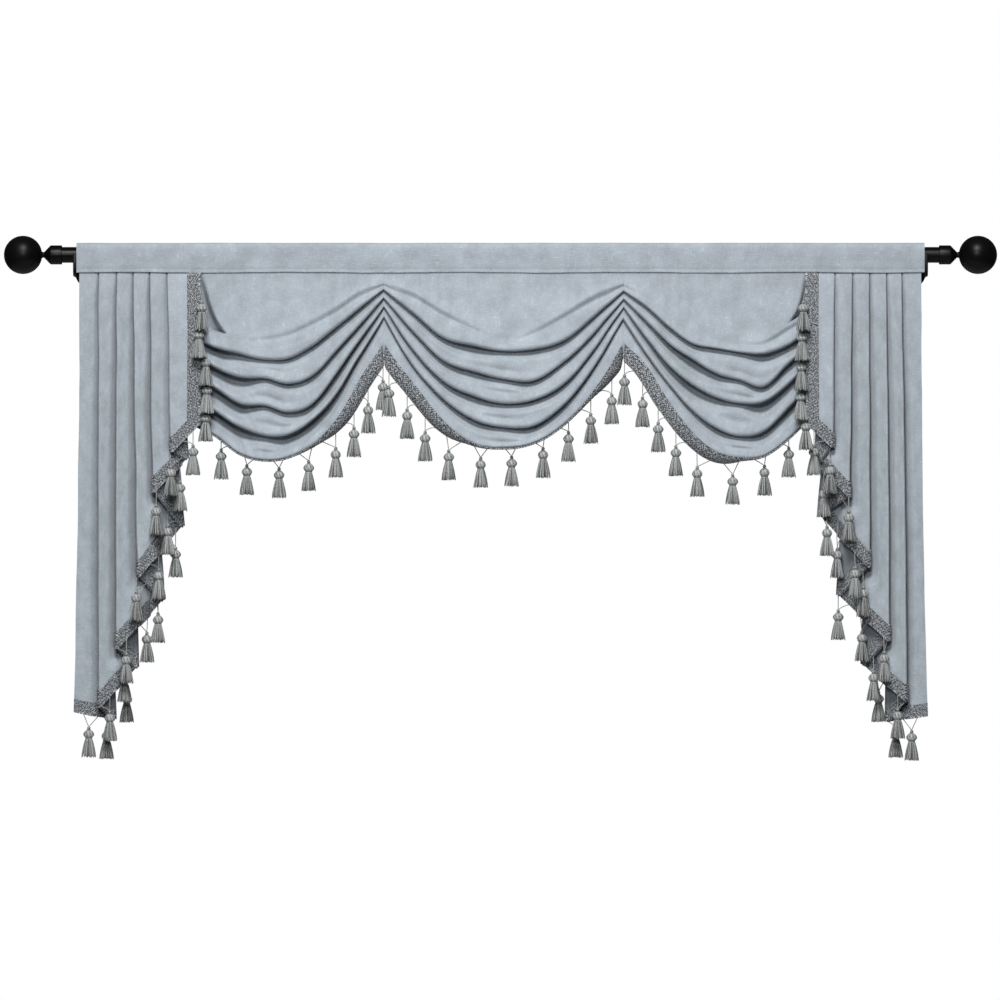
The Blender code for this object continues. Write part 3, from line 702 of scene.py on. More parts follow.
def swag_hem(swag, u, along):
    """The cloth below the lowest fold, which turns under, at a length past that fold."""
    x = mix(swag.left, swag.right, u)
    last = len(swag.folds)
    crest = fold_drop(swag, -1, u)
    tuck = across(swag.tucks, u)
    turned = mix(HEM, TIGHT_TURN, ease((tuck - TIGHT_FROM) / TIGHT_OVER))
    radius = turned / math.radians(tuck)
    angle = min(along, turned) / radius
    straight = max(along - turned, 0.0)
    down = radius * math.sin(angle) + straight * math.cos(angle)
    back = radius * (1 - math.cos(angle)) + straight * math.sin(angle)
    lean_angle = math.atan(edge_slope(swag, u)) * ease(min(u, 1 - u) / HEM_TURN_REACH)
    out = PANEL_OUT + fold_front(swag, u, last) + spread_at(abs(2 * u - 1))[1]
    return cloth_point(x - down * math.sin(lean_angle), out - back, crest + down * math.cos(lean_angle))


def swag_point(swag, u, f):
    """The swag's middle surface. f is 0 at the top edge, 1 to 6 at the lips of its folds
    and 7 at the cloth's lower edge."""
    last = len(swag.folds)
    if f < 1:
        return swag_upper(swag, u, f)
    if f < last:
        return swag_fold(swag, u, f)
    return swag_hem(swag, u, (f - last) * HEM)


def gathered_share(share, gathering):
    """A share from 0 to 1 whose even steps come closer together towards both ends."""
    return mix(share, (1 - math.cos(math.pi * share)) / 2, gathering)


def swag_levels(swag):
    """The levels of the rows of a swag's cloth, closest together at the lips."""
    levels = [UPPER_START * step / 3 for step in range(3)]
    levels += [mix(UPPER_START, 1.0, step / UPPER_ROWS) for step in range(UPPER_ROWS)]
    levels += [1 + step / FIRST_FOLD_ROWS for step in range(FIRST_FOLD_ROWS)]
    for fold in range(2, len(swag.folds)):
        levels += [fold + gathered_share(step / FOLD_ROWS, 0.7) for step in range(FOLD_ROWS)]
    return levels + [len(swag.folds) + step / HEM_ROWS for step in range(HEM_ROWS + 1)]


def even_columns(swag, size):
    """Places across a swag about size apart, a little closer together at the seams."""
    count = round((swag.right - swag.left) / size)
    return [gathered_share(step / count, 0.5) for step in range(count + 1)]


def swag_normal(swag, u, f):
    """The direction in which the right side of the cloth faces."""
    step = 0.01
    across = swag_point(swag, min(u + step, 1.0), f) - swag_point(swag, max(u - step, 0.0), f)
    down = swag_point(swag, u, f + step) - swag_point(swag, u, f - step)
    return down.cross(across).normalized()


def swag_braid_point(swag, u, along, proud=0.0):
    """Middle surface of the braid at a length past the last roll's crest, or a place that
    stands proud of it."""
    f = len(swag.folds) + along / HEM
    return swag_point(swag, u, f) + swag_normal(swag, u, f) * (BRAID_OFFSET + proud) * MM


def braid_relief(length, breadth):
    """How far the braid's woven lozenges stand proud, in millimetres."""
    return 0.5 * abs(math.sin(math.pi * length / LOZENGE) * math.sin(math.pi * breadth / LOZENGE))


def swag_braid(swag):
    """Rows of points of a swag's braid with its relief, and their places on the flat
    braid in metres."""
    columns = [min(max(u, BRAID_END), 1 - BRAID_END) for u in even_columns(swag, 1.2)]
    edge = [swag_braid_point(swag, u, HEM) for u in columns]
    lengths = running_lengths(edge)
    count = round((BRAID_HEIGHT + BRAID_BELOW) / BRAID_CELL)
    rows, flat = [], []
    for step in range(count + 1):
        along = mix(HEM - BRAID_HEIGHT, HEM + BRAID_BELOW, step / count)
        row = []
        for u, length in zip(columns, lengths):
            row.append(swag_braid_point(swag, u, along, braid_relief(length / MM, along)))
        rows.append(row)
        flat.append([(length, along * MM) for length in lengths])
    return rows, flat


def swag_edge(swag):
    """The line on which the tassels of a swag are sewn."""
    along = HEM + BRAID_BELOW - ROOT_INSIDE
    columns = [min(max(u, BRAID_END), 1 - BRAID_END) for u in even_columns(swag, 6.0)]
    return [swag_braid_point(swag, u, along, ROOT_PROUD) for u in columns]


def running_lengths(line):
    """The length from the start of a line of points to each of them."""
    lengths = [0.0]
    for start, end in zip(line, line[1:]):
        lengths.append(lengths[-1] + (end - start).length)
    return lengths


def line_place(line, drop):
    """Distance from the middle and forward place of a pleat line at a drop, with the
    share of the way by which the folds have opened."""
    share = (drop - TOP_DROP) / (line.hem_drop - TOP_DROP)
    opened = min(math.sqrt(max(drop - BELOW_BAND, 0.0) / JABOT_DEPTH_REACH), 1.0)
    sideways = max(share, 0.0) ** EDGE_FLARE if line.kind == "edge" else share
    return mix(line.top_x, line.hem_x, sideways), mix(line.top_out, line.hem_out, opened), opened


def line_drop(line, slope, v):
    """The drop of a pleat line at v: 0 at its top edge, 1 just below the band, 2 at the
    upper edge of the hem's braid and 3 at the hem."""
    braid_top = line.hem_drop - BRAID_HEIGHT * math.hypot(1, slope)
    stops = (TOP_DROP, BELOW_BAND, braid_top, line.hem_drop)
    index = min(int(v), len(stops) - 2)
    return mix(stops[index], stops[index + 1], v - index)


def fold_turn(line, drop):
    """The small U-turn that the cloth makes at a pleat line, as (distance, forward)."""
    x, out, opened = line_place(line, drop)
    if line.kind == "edge":
        return [(x, out)]
    sign, sizes = (1, BACK_TURN) if line.kind == "back" else (-1, FRONT_TURN)
    radius = mix(*sizes, opened)
    turn = [math.pi * (step / TURN_STEPS - 0.5) for step in range(TURN_STEPS + 1)]
    return [(x + sign * radius * (1 - math.cos(a)), out + radius * (sign + math.sin(a))) for a in turn]


def hem_slopes(jabot):
    """The steepness of the hem at each line, from its two neighbours."""
    lines = jabot.lines
    slopes = []
    for index in range(len(lines)):
        low, high = lines[max(index - 1, 0)], lines[min(index + 1, len(lines) - 1)]
        here = lines[index]
        run = abs(low.hem_x - here.hem_x) + abs(high.hem_x - here.hem_x)
        rise = abs(low.hem_drop - here.hem_drop) + abs(high.hem_drop - here.hem_drop)
        slopes.append(min(rise / max(run, 1.0), STEEPEST_HEM))
    return slopes


def back_facet(start, end, shares):
    """Places from a back fold to the front fold that covers it."""
    return [tuple(mix(a, b, share) for a, b in zip(start, end)) for share in shares]


def face_facet(start, end, shares, cover):
    """Places from a front fold or the outer edge to the next back fold. The face stays
    nearly flat up to the pleat that comes in front of it, and turns back there. Below
    that pleat's hem it stays flat a little further."""
    drop = mix(start[2], end[2], 0.5)
    cover_x, _, opened = line_place(cover, drop)
    cover_x -= UNCOVERED * ease((drop - cover.hem_drop + 10) / 50)
    width = start[0] - end[0]
    turn_end = min(max((start[0] - cover_x) / width, TURN_RANGE[0]), TURN_RANGE[1])
    turn_start = max(turn_end - mix(*FACE_TURN, opened) / width, 0.4 * turn_end)
    first, last = TURN_POINTS
    places = []
    for share in shares:
        if share < first:
            away = turn_start * share / first
        elif share < last:
            away = mix(turn_start, turn_end, (share - first) / (last - first))
        else:
            away = mix(turn_end, 1.0, (share - last) / (1 - last))
        turn = min(max((away - turn_start) / (turn_end - turn_start), 0.0), 1.0)
        turned = mix(FLAT_FACE * away, 1.0, turn**TURN_POWER)
        x, drop = mix(start[0], end[0], away), mix(start[2], end[2], away)
        places.append((x, mix(start[1], end[1], turned), drop))
    return places


def jabot_section(jabot, v, steps, edge_steps):
    """One row of points across a jabot's pleats, from its outer edge to its inner one.
    The last edge_steps cells are the ones that the braid of the inner edge covers."""
    section = []
    for index, (line, slope) in enumerate(zip(jabot.lines, hem_slopes(jabot))):
        drop = line_drop(line, slope, v)
        turn = [(x, out, drop) for x, out in fold_turn(line, drop)]
        if section:
            shares = [step / steps for step in range(1, steps)]
            if index == len(jabot.lines) - 1:
                start = 1 - BRAID_HEIGHT / (section[-1][0] - turn[0][0])
                shares = [start * step / steps for step in range(1, steps)]
                shares += [mix(start, 1.0, step / edge_steps) for step in range(edge_steps)]
            if line.kind == "back":
                section += face_facet(section[-1], turn[0], shares, jabot.lines[index + 1])
            else:
                section += back_facet(section[-1], turn[0], shares)
        section += turn
    return [cloth_point(jabot.side * x, out, drop) for x, out, drop in section]


def jabot_levels(row):
    """The rows of a jabot's cloth, about row apart at its longest."""
    longest = max(line.hem_drop for line in JABOTS[0].lines)
    count = round((longest - BELOW_BAND - BRAID_HEIGHT) / row)
    levels = [0.0, 0.35, 0.7]
    levels += [1 + (step / count) for step in range(count)]
    return levels + [2 + step / BOUND_ROWS for step in range(BOUND_ROWS + 1)]


def grid_bmesh(rows):
    """A triangulated grid whose points are moved onto rows, a list of rows of points from
    top to bottom, and a table of its points by (row, column)."""
    bm = bmesh.new()
    last_row, last_column = len(rows) - 1, len(rows[0]) - 1
    bmesh.ops.create_grid(bm, x_segments=last_column, y_segments=last_row, size=0.5)
    bmesh.ops.triangulate(bm, faces=bm.faces[:], quad_method="FIXED")
    table = {}
    for vert in bm.verts:
        row, column = round((vert.co.y + 0.5) * last_row), round((vert.co.x + 0.5) * last_column)
        table[row, column] = vert
        vert.co = rows[row][column]
    bm.normal_update()
    return bm, table


def write_pattern(bm, table, flat):
    """Gives each corner its place on the flat cloth or braid, in metres."""
    layer = bm.loops.layers.uv.new(PATTERN)
    cells = {vert: cell for cell, vert in table.items()}
    for face in bm.faces:
        for loop in face.loops:
            row, column = cells[loop.vert]
            loop[layer].uv = flat[row][column]


def flat_places(rows):
    """Places of a grid's points on the flat cloth: across from the lowest row's lengths
    and down from each column's own."""
    across = running_lengths(rows[-1])
    columns = [running_lengths([row[index] for row in rows]) for index in range(len(rows[0]))]
    return [[(across[column], columns[column][row]) for column in range(len(across))]
            for row in range(len(rows))]


def jabot_braid(jabot):
    """Rows of points of a jabot's braid, their places on the flat braid, and how many
    rows and columns lie above and beside it. The braid runs over the jabot's right side,
    down its inner edge and along its hem."""
    edge_steps = round(BRAID_HEIGHT / BRAID_CELL)
    edge_rows = round((jabot.lines[-1].hem_drop - BELOW_BAND - BRAID_HEIGHT) / BRAID_CELL)
    hem_rows = round(BRAID_HEIGHT / BRAID_CELL)
    levels = [1 + step / edge_rows for step in range(edge_rows)]
    levels += [2 + step / hem_rows for step in range(hem_rows + 1)]
    rows = [jabot_section(jabot, v, BRAID_FACET_STEPS, edge_steps) for v in levels]
    bm, table = grid_bmesh(rows)
    normals = [[table[row, column].normal * jabot.side for column in range(len(line))]
               for row, line in enumerate(rows)]
    bm.free()
    lengths = running_lengths(rows[-1])
    down = running_lengths([row[-1] for row in rows])
    flat = [[(length, down[row]) for length in lengths] for row in range(len(rows))]
    for index, row in enumerate(rows):
        for column, place in enumerate(row):
            relief = braid_relief(flat[index][column][0] / MM, flat[index][column][1] / MM)
            row[column] = place + normals[index][column] * (BRAID_OFFSET + relief) * MM
    for place in rows[-1]:
        place.z -= BRAID_BELOW * MM
    for row in rows:
        row[-1].x -= jabot.side * BRAID_BELOW * MM
    return rows, flat, edge_rows, len(rows[0]) - 1 - edge_steps


def keep_braid(bm, table, edge_rows, side_columns):
    """Takes away a jabot's cells that no braid covers."""
    cells = {vert: cell for cell, vert in table.items()}
    spare = []
    for face in bm.faces:
        row = min(cells[vert][0] for vert in face.verts)
        column = min(cells[vert][1] for vert in face.verts)
        if row < edge_rows and column < side_columns:
            spare.append(face)
    bmesh.ops.delete(bm, geom=spare, context="FACES")


def sleeve_unevenness(x, around):
    """A small unevenness of the sleeve at a distance along it and a place around it."""
    return UNEVEN * noise.noise(Vector((x / UNEVEN_LENGTH, around, 1.3)))


def heading_rows():
    """The sleeve from the lower edge of its back layer, over the rod, to the lower edge of
    its front layer, which is rolled a little over its seam."""
    count = round(2 * HEADING_HALF / HEADING_COLUMN)
    columns = [mix(-HEADING_HALF, HEADING_HALF, step / count) for step in range(count + 1)]
    turn_out, turn_drop = SLEEVE_BACK_TURN
    rows = []
    for step in range(BACK_STEPS):
        share = step / BACK_STEPS
        row = []
        for x in columns:
            behind = mix(BEHIND_SWAGS, BEHIND_JABOTS, ease((abs(x) - JABOTS_START) / JABOTS_REACH))
            row.append(point(x, mix(behind, turn_out, share), mix(BAND_DROP, turn_drop, share)))
        rows.append(row)
    rows.append([point(x, turn_out, turn_drop) for x in columns])
    for step in range(SLEEVE_STEPS + 1):
        angle = math.pi * (1 - step / SLEEVE_STEPS)
        row = []
        for x in columns:
            uneven = sleeve_unevenness(x, step / UNEVEN_TURN)
            reach = math.copysign(abs(math.cos(angle)) ** SQUARENESS, math.cos(angle))
            rise = abs(math.sin(angle)) ** SQUARENESS
            row.append(point(x, (SLEEVE_OUT + uneven) * reach, -SLEEVE_UP * rise - uneven))
        rows.append(row)
    for share, proud in BAND_RELIEF:
        row = []
        for x in columns:
            wave = BAND_WAVE * math.sin(x / 47.0) + UNEVEN * noise.noise(Vector((x / 33, 0.4, 5.2)))
            uneven = sleeve_unevenness(x, SLEEVE_STEPS / UNEVEN_TURN + share * 2)
            front = mix(SLEEVE_OUT, BAND_FRONT, share) + proud + uneven
            row.append(point(x, front, (BAND_DROP + wave) * share))
        rows.append(row)
    return rows


def place_along(line, length):
    """The place at a length in metres along a line of points."""
    for start, end in zip(line, line[1:]):
        step = (end - start).length
        if length <= step:
            return start.lerp(end, length / step)
        length -= step
    return line[-1].copy()


def hang(line, middle, side_step=0.0):
    """The two roots and the knot of a tassel sewn around a length along a line."""
    spacing = ROOT_SPACING * MM
    length = LEG_LENGTH * MM
    roots = [place_along(line, middle - spacing / 2), place_along(line, middle + spacing / 2)]
    roots.sort(key=lambda place: -place.z)
    high, low = roots
    fall = high.z - low.z
    across = Vector((low.x - high.x, low.y - high.y, 0))
    if across.length**2 + fall**2 <= 2 * length * fall:
        knot = high - Vector((0, 0, length))
    else:
        halfway = (high + low) / 2
        reach = (low - high).length
        sink = math.sqrt(max(length**2 - (reach / 2) ** 2, 0.0))
        sideways = -across.normalized() * sink * fall / reach
        knot = halfway + sideways - Vector((0, 0, sink * across.length / reach))
    knot.x += side_step * MM
    steps = 40
    for step in range(steps + 1):
        tried = high.lerp(low, 1 - step / steps)
        if tried.z >= knot.z + LEG_RISE * MM:
            return high, tried, knot, side_step != 0
    return high, high.lerp(low, 0.5), knot, side_step != 0


def girth_at(height):
    """The radius of a tassel at a height above the middle of its knot."""
    for upper, lower in zip(GIRTHS, GIRTHS[1:]):
        if height >= lower.height:
            share = min(max((upper.height - height) / (upper.height - lower.height), 0.0), 1.0)
            return mix(upper.radius, lower.radius, share)
    return GIRTHS[-1].radius


def stands_out(height, leans):
    """How far in front of its knot a tassel stands at a height. A leaning tassel lies
    flat against what is behind it, and over the legs of the tassel below."""
    if not leans:
        return 0.0
    return girth_at(height) - KNOT_RADIUS - TASSEL_LEAN * height / TASSEL_HEIGHT


def first_hit(x, z, obstacles):
    """How near the front the foremost obstacle comes at a place, as a Y, or None."""
    start = Vector((x, -1.0, z))
    hits = [tree.ray_cast(start, Vector((0, 1, 0)))[0] for tree in obstacles]
    return min((hit.y for hit in hits if hit), default=None)


def clear_depth(high, low, knot, leans, obstacles):
    """Moves a knot forward until its tassel and legs hang in front of what is behind."""
    front = knot.y
    for height, radius in GIRTHS:
        for share in WIDTH_SAMPLES:
            hit = first_hit(knot.x + share * radius * MM, knot.z + height * MM, obstacles)
            if hit is not None:
                room = radius * math.sqrt(1 - share**2) + TASSEL_GAP - stands_out(height, leans)
                front = min(front, hit - room * MM)
    for root in (high, low):
        for share in LEG_SAMPLES:
            place = knot.lerp(root, share)
            hit = first_hit(place.x, place.z, obstacles)
            if hit is not None and hit > place.y - LEG_BEHIND * MM:
                needed = hit - LEG_GAP * MM
                front = min(front, (needed - root.y * share) / (1 - share))
    knot.y = front


def add_tube(bm, path, radii, sides, tone, twist=0.0):
    """A closed tube along a path. Its flattened cross-section turns by twist radians a
    millimetre, as a two-ply cord's does. tone is how light its threads are."""
    layer = bm.loops.layers.uv[PATTERN]
    lengths = running_lengths(path)
    rings = []
    for index, place in enumerate(path):
        ahead = path[min(index + 1, len(path) - 1)] - path[max(index - 1, 0)]
        side = ahead.cross(ANY_DIRECTION).normalized()
        other = ahead.cross(side).normalized()
        ring = []
        for corner in range(sides):
            angle = 2 * math.pi * corner / sides
            turned = angle - twist * lengths[index] / MM
            bulge = 1 + PLY_BULGE * math.cos(2 * turned) if twist else 1
            arm = side * math.cos(angle) + other * math.sin(angle)
            ring.append(bm.verts.new(place + arm * radii[index] * bulge * MM))
        rings.append(ring)
    faces = [bm.faces.new(rings[0][::-1]), bm.faces.new(rings[-1])]
    for upper, lower in zip(rings, rings[1:]):
        for corner in range(sides):
            after = (corner + 1) % sides
            faces.append(bm.faces.new((upper[corner], upper[after], lower[after], lower[corner])))
    for face in faces:
        face.smooth = len(face.verts) == 4
        face.material_index = 1
        for loop in face.loops:
            loop[layer].uv = (tone, loop.vert.co.z / MM)
    return faces


def threads_mesh():
    bm = bmesh.new()
    bm.loops.layers.uv.new(PATTERN)
    return bm


def skirt_strands(bm, chance):
    """The flared skirt: three rings of fine strands that gather into loose locks."""
    steps = len(STRAND_RADII) - 1
    for ring in STRAND_RINGS:
        for index in range(ring.strands):
            angle = 2 * math.pi * (index + chance.uniform(-0.3, 0.3)) / ring.strands
            angle += 0.07 * math.sin(8 * angle)
            end_angle = angle + chance.uniform(-0.08, 0.08)
            length = SKIRT_HEIGHT + chance.uniform(-3.5, 0.3)
            wave = chance.uniform(-0.5, 0.5)
            path = []
            for step in range(steps + 1):
                share = step / steps
                turn = mix(angle, end_angle, share)
                flare = mix(SKIRT_TOP_RADIUS, SKIRT_RADIUS - 0.9, share**0.85)
                radius = ring.reach * (flare + wave * math.sin(math.pi * share))
                height = WAIST_HEIGHT + 1.0 - length * share
                path.append(Vector((radius * math.cos(turn), radius * math.sin(turn), height)) * MM)
            # The strand's tone differs at random, and is darker on the inner rings as painted shade.
            add_tube(bm, path, STRAND_RADII, 3, chance.uniform(*ring.tones))


def deselect():
    bpy.ops.object.select_all(action="DESELECT")


def only_select(obj):
    deselect()
    obj.select_set(True)
    bpy.context.view_layer.objects.active = obj


def take_new(name):
    """Names the primitive that was just added, and applies its place."""
    made = bpy.context.active_object
    made.name = name
    made.data.name = name
    only_select(made)
    bpy.ops.object.transform_apply(location=True, rotation=True, scale=True)
    return made


def apply_modifiers(obj):
    only_select(obj)
    for modifier in list(obj.modifiers):
        bpy.ops.object.modifier_apply(modifier=modifier.name)
    return obj


def join(pieces):
    """Joins pieces into the first of them."""
    deselect()
    for piece in pieces:
        piece.select_set(True)
    bpy.context.view_layer.objects.active = pieces[0]
    bpy.ops.object.join()
    return pieces[0]


def set_tones(obj, tone_at):
    """Gives each point of a thread piece a tone, from 0 for dark to 1 for light."""
    mesh = obj.data
    while mesh.uv_layers:
        mesh.uv_layers.remove(mesh.uv_layers[0])
    layer = mesh.uv_layers.new(name=PATTERN)
    for loop in mesh.loops:
        place = mesh.vertices[loop.vertex_index].co
        layer.data[loop.index].uv = (tone_at(place), place.z / MM)
    for face in mesh.polygons:
        face.use_smooth = True
        face.material_index = 1


def head_place(place):
    """The angle round a tassel's head, and the height from -1 to 1 on its round form."""
    return math.atan2(place.y, place.x), (place.z / MM - HEAD_MIDDLE) / HEAD_RADIUS


def head_tone(place):
    angle, height = head_place(place)
    return 0.66 + 0.3 * math.cos(HEAD_LOBES * angle + HEAD_SWIRL * height) + 0.12 * math.sin(900 * place.z)


def tassel_head():
    """The round head, bound with slanting turns of thread."""
    bpy.ops.mesh.primitive_uv_sphere_add(segments=32, ring_count=14, radius=HEAD_RADIUS * MM,
                                         location=(0, 0, HEAD_MIDDLE * MM))
    head = take_new("tassel head")
    for vert in head.data.vertices:
        angle, height = head_place(vert.co)
        swirl = math.cos(HEAD_LOBES * angle + HEAD_SWIRL * height)
        cross = math.cos(HEAD_LOBES * angle - HEAD_SWIRL * height)
        bulge = 1 + (0.05 * swirl + 0.035 * cross) * (1 - height**2)
        vert.co.x *= bulge
        vert.co.y *= bulge
        vert.co.z = (HEAD_MIDDLE + HEAD_HALF_HEIGHT * height) * MM
    set_tones(head, head_tone)
    return head


def thread_ring(size):
    """A few turns of thread bound round a tassel."""
    bpy.ops.mesh.primitive_torus_add(
        major_radius=size.major * MM, minor_radius=size.minor * MM, major_segments=18,
        minor_segments=6, location=(0, 0, size.height * MM))
    ring = take_new("thread ring")
    set_tones(ring, lambda place: size.tone)
    return ring


def tassel_painted_shade_core():
    """A dark cone inside the skirt: painted shade where the strands shade each other."""
    bpy.ops.mesh.primitive_cone_add(
        vertices=12, radius1=SHADE_CORE_RADII[0] * MM, radius2=SHADE_CORE_RADII[1] * MM, depth=SHADE_CORE_HEIGHT * MM,
        location=(0, 0, (WAIST_HEIGHT - SHADE_CORE_HEIGHT / 2) * MM))
    core = take_new("tassel painted shade core")
    # A dark tone all over, as painted shade inside the skirt.
    set_tones(core, lambda place: 0.1)
    return core


def tassel_knot():
    """The knot in which a tassel's two cords end."""
    bpy.ops.mesh.primitive_uv_sphere_add(
        segments=12, ring_count=8, radius=KNOT_RADIUS * MM, location=(0, 0, 0))
    knot = take_new("tassel knot")
    for vert in knot.data.vertices:
        angle = math.atan2(vert.co.y, vert.co.x)
        vert.co *= 1 + 0.08 * math.cos(3 * angle + vert.co.z / MM)
    set_tones(knot, lambda place: 0.5 + 0.25 * math.cos(3 * math.atan2(place.y, place.x) + place.z / MM))
    return knot


def tassel_pattern(seed):
    """One tassel with its knot's middle at the origin, as a mesh to be copied."""
    bm = threads_mesh()
    skirt_strands(bm, random.Random(seed))
    bmesh.ops.recalc_face_normals(bm, faces=bm.faces[:])
    mesh = bpy.data.meshes.new("tassel skirt")
    bm.to_mesh(mesh)
    bm.free()
    skirt = bpy.data.objects.new("tassel skirt", mesh)
    bpy.context.collection.objects.link(skirt)
    parts = [skirt, tassel_painted_shade_core(), tassel_head(), tassel_knot()]
    parts += [thread_ring(size) for size in THREAD_RINGS]
    whole = join(parts)
    mesh = whole.data
    bpy.data.objects.remove(whole)
    return mesh


def leg_path(root, knot, slack):
    """A cord from the knot to its root in the braid. The lower one is slack and arches."""
    top = knot + Vector((0, 0, KNOT_RADIUS * 0.6)) * MM
    if slack < 0.5 * MM:
        bends = [top, top.lerp(root, 0.35), top.lerp(root, 0.7), root]
    else:
        rise = Vector((0, 0, 1)) * slack
        bends = [top, top.lerp(root, 0.2) + rise, top.lerp(root, 0.75) + rise * 1.1, root]
    path = []
    for step in range(13):
        t = step / 12
        path.append(bends[0] * (1 - t) ** 3 + bends[1] * 3 * t * (1 - t) ** 2
                    + bends[2] * 3 * t * t * (1 - t) + bends[3] * t**3)
    return path


def hung_tassel(pattern, high, low, knot, leans, turned):
    """A copy of the tassel at its place, with its two cords."""
    bm = threads_mesh()
    bm.from_mesh(pattern)
    for face in bm.faces:
        face.material_index = 1
    bmesh.ops.rotate(bm, verts=bm.verts[:], cent=(0, 0, 0), matrix=Matrix.Rotation(turned, 3, "Z"))
    for vert in bm.verts:
        height = vert.co.z / MM
        vert.co = knot + vert.co - Vector((0, stands_out(height, leans) * MM, 0))
    longest = (high - knot).length
    legs = []
    for root in (high, low):
        slack = max(longest - (root - knot).length, 0.0) * 0.6
        path = leg_path(root, knot, slack)
        legs += add_tube(bm, path, [LEG_RADIUS] * len(path), 6, 0.55, LEG_TWIST)
    bmesh.ops.recalc_face_normals(bm, faces=legs)
    return bm


def swag_tassels(swag):
    """A swag's tassels, sewn at even lengths along its hem."""
    line = swag_edge(swag)
    middles = [(swag.first_tassel + swag.tassel_pitch * index) * MM for index in range(swag.tassels)]
    return [hang(line, middle) for middle in middles]


def jabot_tassels(jabot, rows):
    """Tassels in the order in which they hang in front of each other, back ones first."""
    hem = [place + Vector((0, 0, ROOT_INSIDE * MM)) for place in rows[-1]][::-1]
    pitch = running_lengths(hem)[-1] / JABOT_HEM_TASSELS
    placed = [hang(hem, pitch * (index + 0.5)) for index in reversed(range(JABOT_HEM_TASSELS))]
    inside = Vector((jabot.side * ROOT_INSIDE * MM, 0, 0))
    edge = [row[-1] + inside for row in rows]
    for index, beside in reversed(list(enumerate(jabot.beside))):
        middle = (FIRST_EDGE_TASSEL + jabot.edge_pitch * index) * MM
        placed.append(hang(edge, middle, -jabot.side * beside))
    return placed


def add_mesh_object(name, bm, finishes):
    mesh = bpy.data.meshes.new(name)
    bm.to_mesh(mesh)
    bm.free()
    made = bpy.data.objects.new(name, mesh)
    for finish in finishes:
        mesh.materials.append(finish)
    bpy.context.scene.collection.objects.link(made)
    return made


def thicken(piece, thickness, back=0):
    """Gives a sheet its thickness. back is how many slots on its other side's finish is."""
    solid = piece.modifiers.new("thickness", "SOLIDIFY")
    solid.thickness = thickness
    solid.offset = 0.0
    solid.material_offset = back
    apply_modifiers(piece)
    bpy.ops.object.shade_smooth_by_angle(angle=math.radians(60))
    return piece


def cloth_sheet(name, rows, facing, thickness, bound_rows=0):
    """A sheet of chenille. facing is -1 where its columns run towards +X, so that its
    right side comes to the front. The braid is folded round its lowest bound_rows rows,
    and so it shows on their wrong side."""
    bm, table = grid_bmesh(rows)
    write_pattern(bm, table, flat_places(rows))
    if facing < 0:
        bmesh.ops.reverse_faces(bm, faces=bm.faces[:])
    rows_of = {vert: row for (row, _), vert in table.items()}
    first_bound = len(rows) - 1 - bound_rows
    for face in bm.faces:
        face.smooth = True
        if bound_rows and min(rows_of[vert] for vert in face.verts) >= first_bound:
            face.material_index = 2
    finishes = (chenille_finish(), wrong_side_shaded_finish(), chenille_finish(), braid_finish())
    made = add_mesh_object(name, bm, finishes if bound_rows else finishes[:2])
    return thicken(made, thickness, 1)


def braid_strip(owner, bm):
    """The braid of a swag or jabot, still without its tassels."""
    strip = add_mesh_object(owner + "_fringe", bm, (braid_finish(), thread_finish()))
    return thicken(strip, bpy.context.scene.valance_fringe.braid_thickness)


def add_node(tree, kind, sockets=None, **settings):
    """Adds a shader node. sockets maps an input's name to its value or to the output
    that feeds it."""
    made = tree.nodes.new("ShaderNode" + kind)
    for name, value in settings.items():
        setattr(made, name, value)
    for name, value in (sockets or {}).items():
        if isinstance(value, bpy.types.NodeSocket):
            tree.links.new(value, made.inputs[name])
        else:
            made.inputs[name].default_value = value
    return made


def arithmetic(tree, operation, first, second=0.0):
    return add_node(tree, "Math", {0: first, 1: second}, operation=operation).outputs[0]


def weighted(tree, first, second, weight):
    """The first value plus the second one times a weight."""
    return arithmetic(tree, "ADD", first, arithmetic(tree, "MULTIPLY", second, weight))


def noise_of(tree, place, scale, detail=2.0, roughness=0.5):
    sockets = {"Vector": place, "Scale": scale, "Detail": detail, "Roughness": roughness}
    return add_node(tree, "TexNoise", sockets).outputs[0]


def ranged(tree, value, low, high, to_low, to_high):
    sockets = {"Value": value, "From Min": low, "From Max": high, "To Min": to_low, "To Max": to_high}
    return add_node(tree, "MapRange", sockets).outputs[0]


def colour_ramp(tree, value, stops):
    ramp = add_node(tree, "ValToRGB", {0: value})
    elements = ramp.color_ramp.elements
    while len(elements) < len(stops):
        elements.new(0.5)
    for element, (place, colour) in zip(elements, stops):
        element.position = place
        element.color = (*colour, 1.0)
    return ramp.outputs["Color"]


def new_finish(name):
    """A material with a Principled shader, or None and the material if it was made."""
    made = bpy.data.materials.get(name)
    if made:
        return made, None, None
    made = bpy.data.materials.new(name)
    made.use_nodes = True
    return made, made.node_tree, made.node_tree.nodes["Principled BSDF"]


def bumped(tree, shader, height, distance, strength):
    bump = add_node(tree, "Bump", {"Height": height, "Distance": distance, "Strength": strength})
    tree.links.new(bump.outputs[0], shader.inputs["Normal"])


def shade(colour, share):
    return tuple(min(part * share, 1.0) for part in colour)


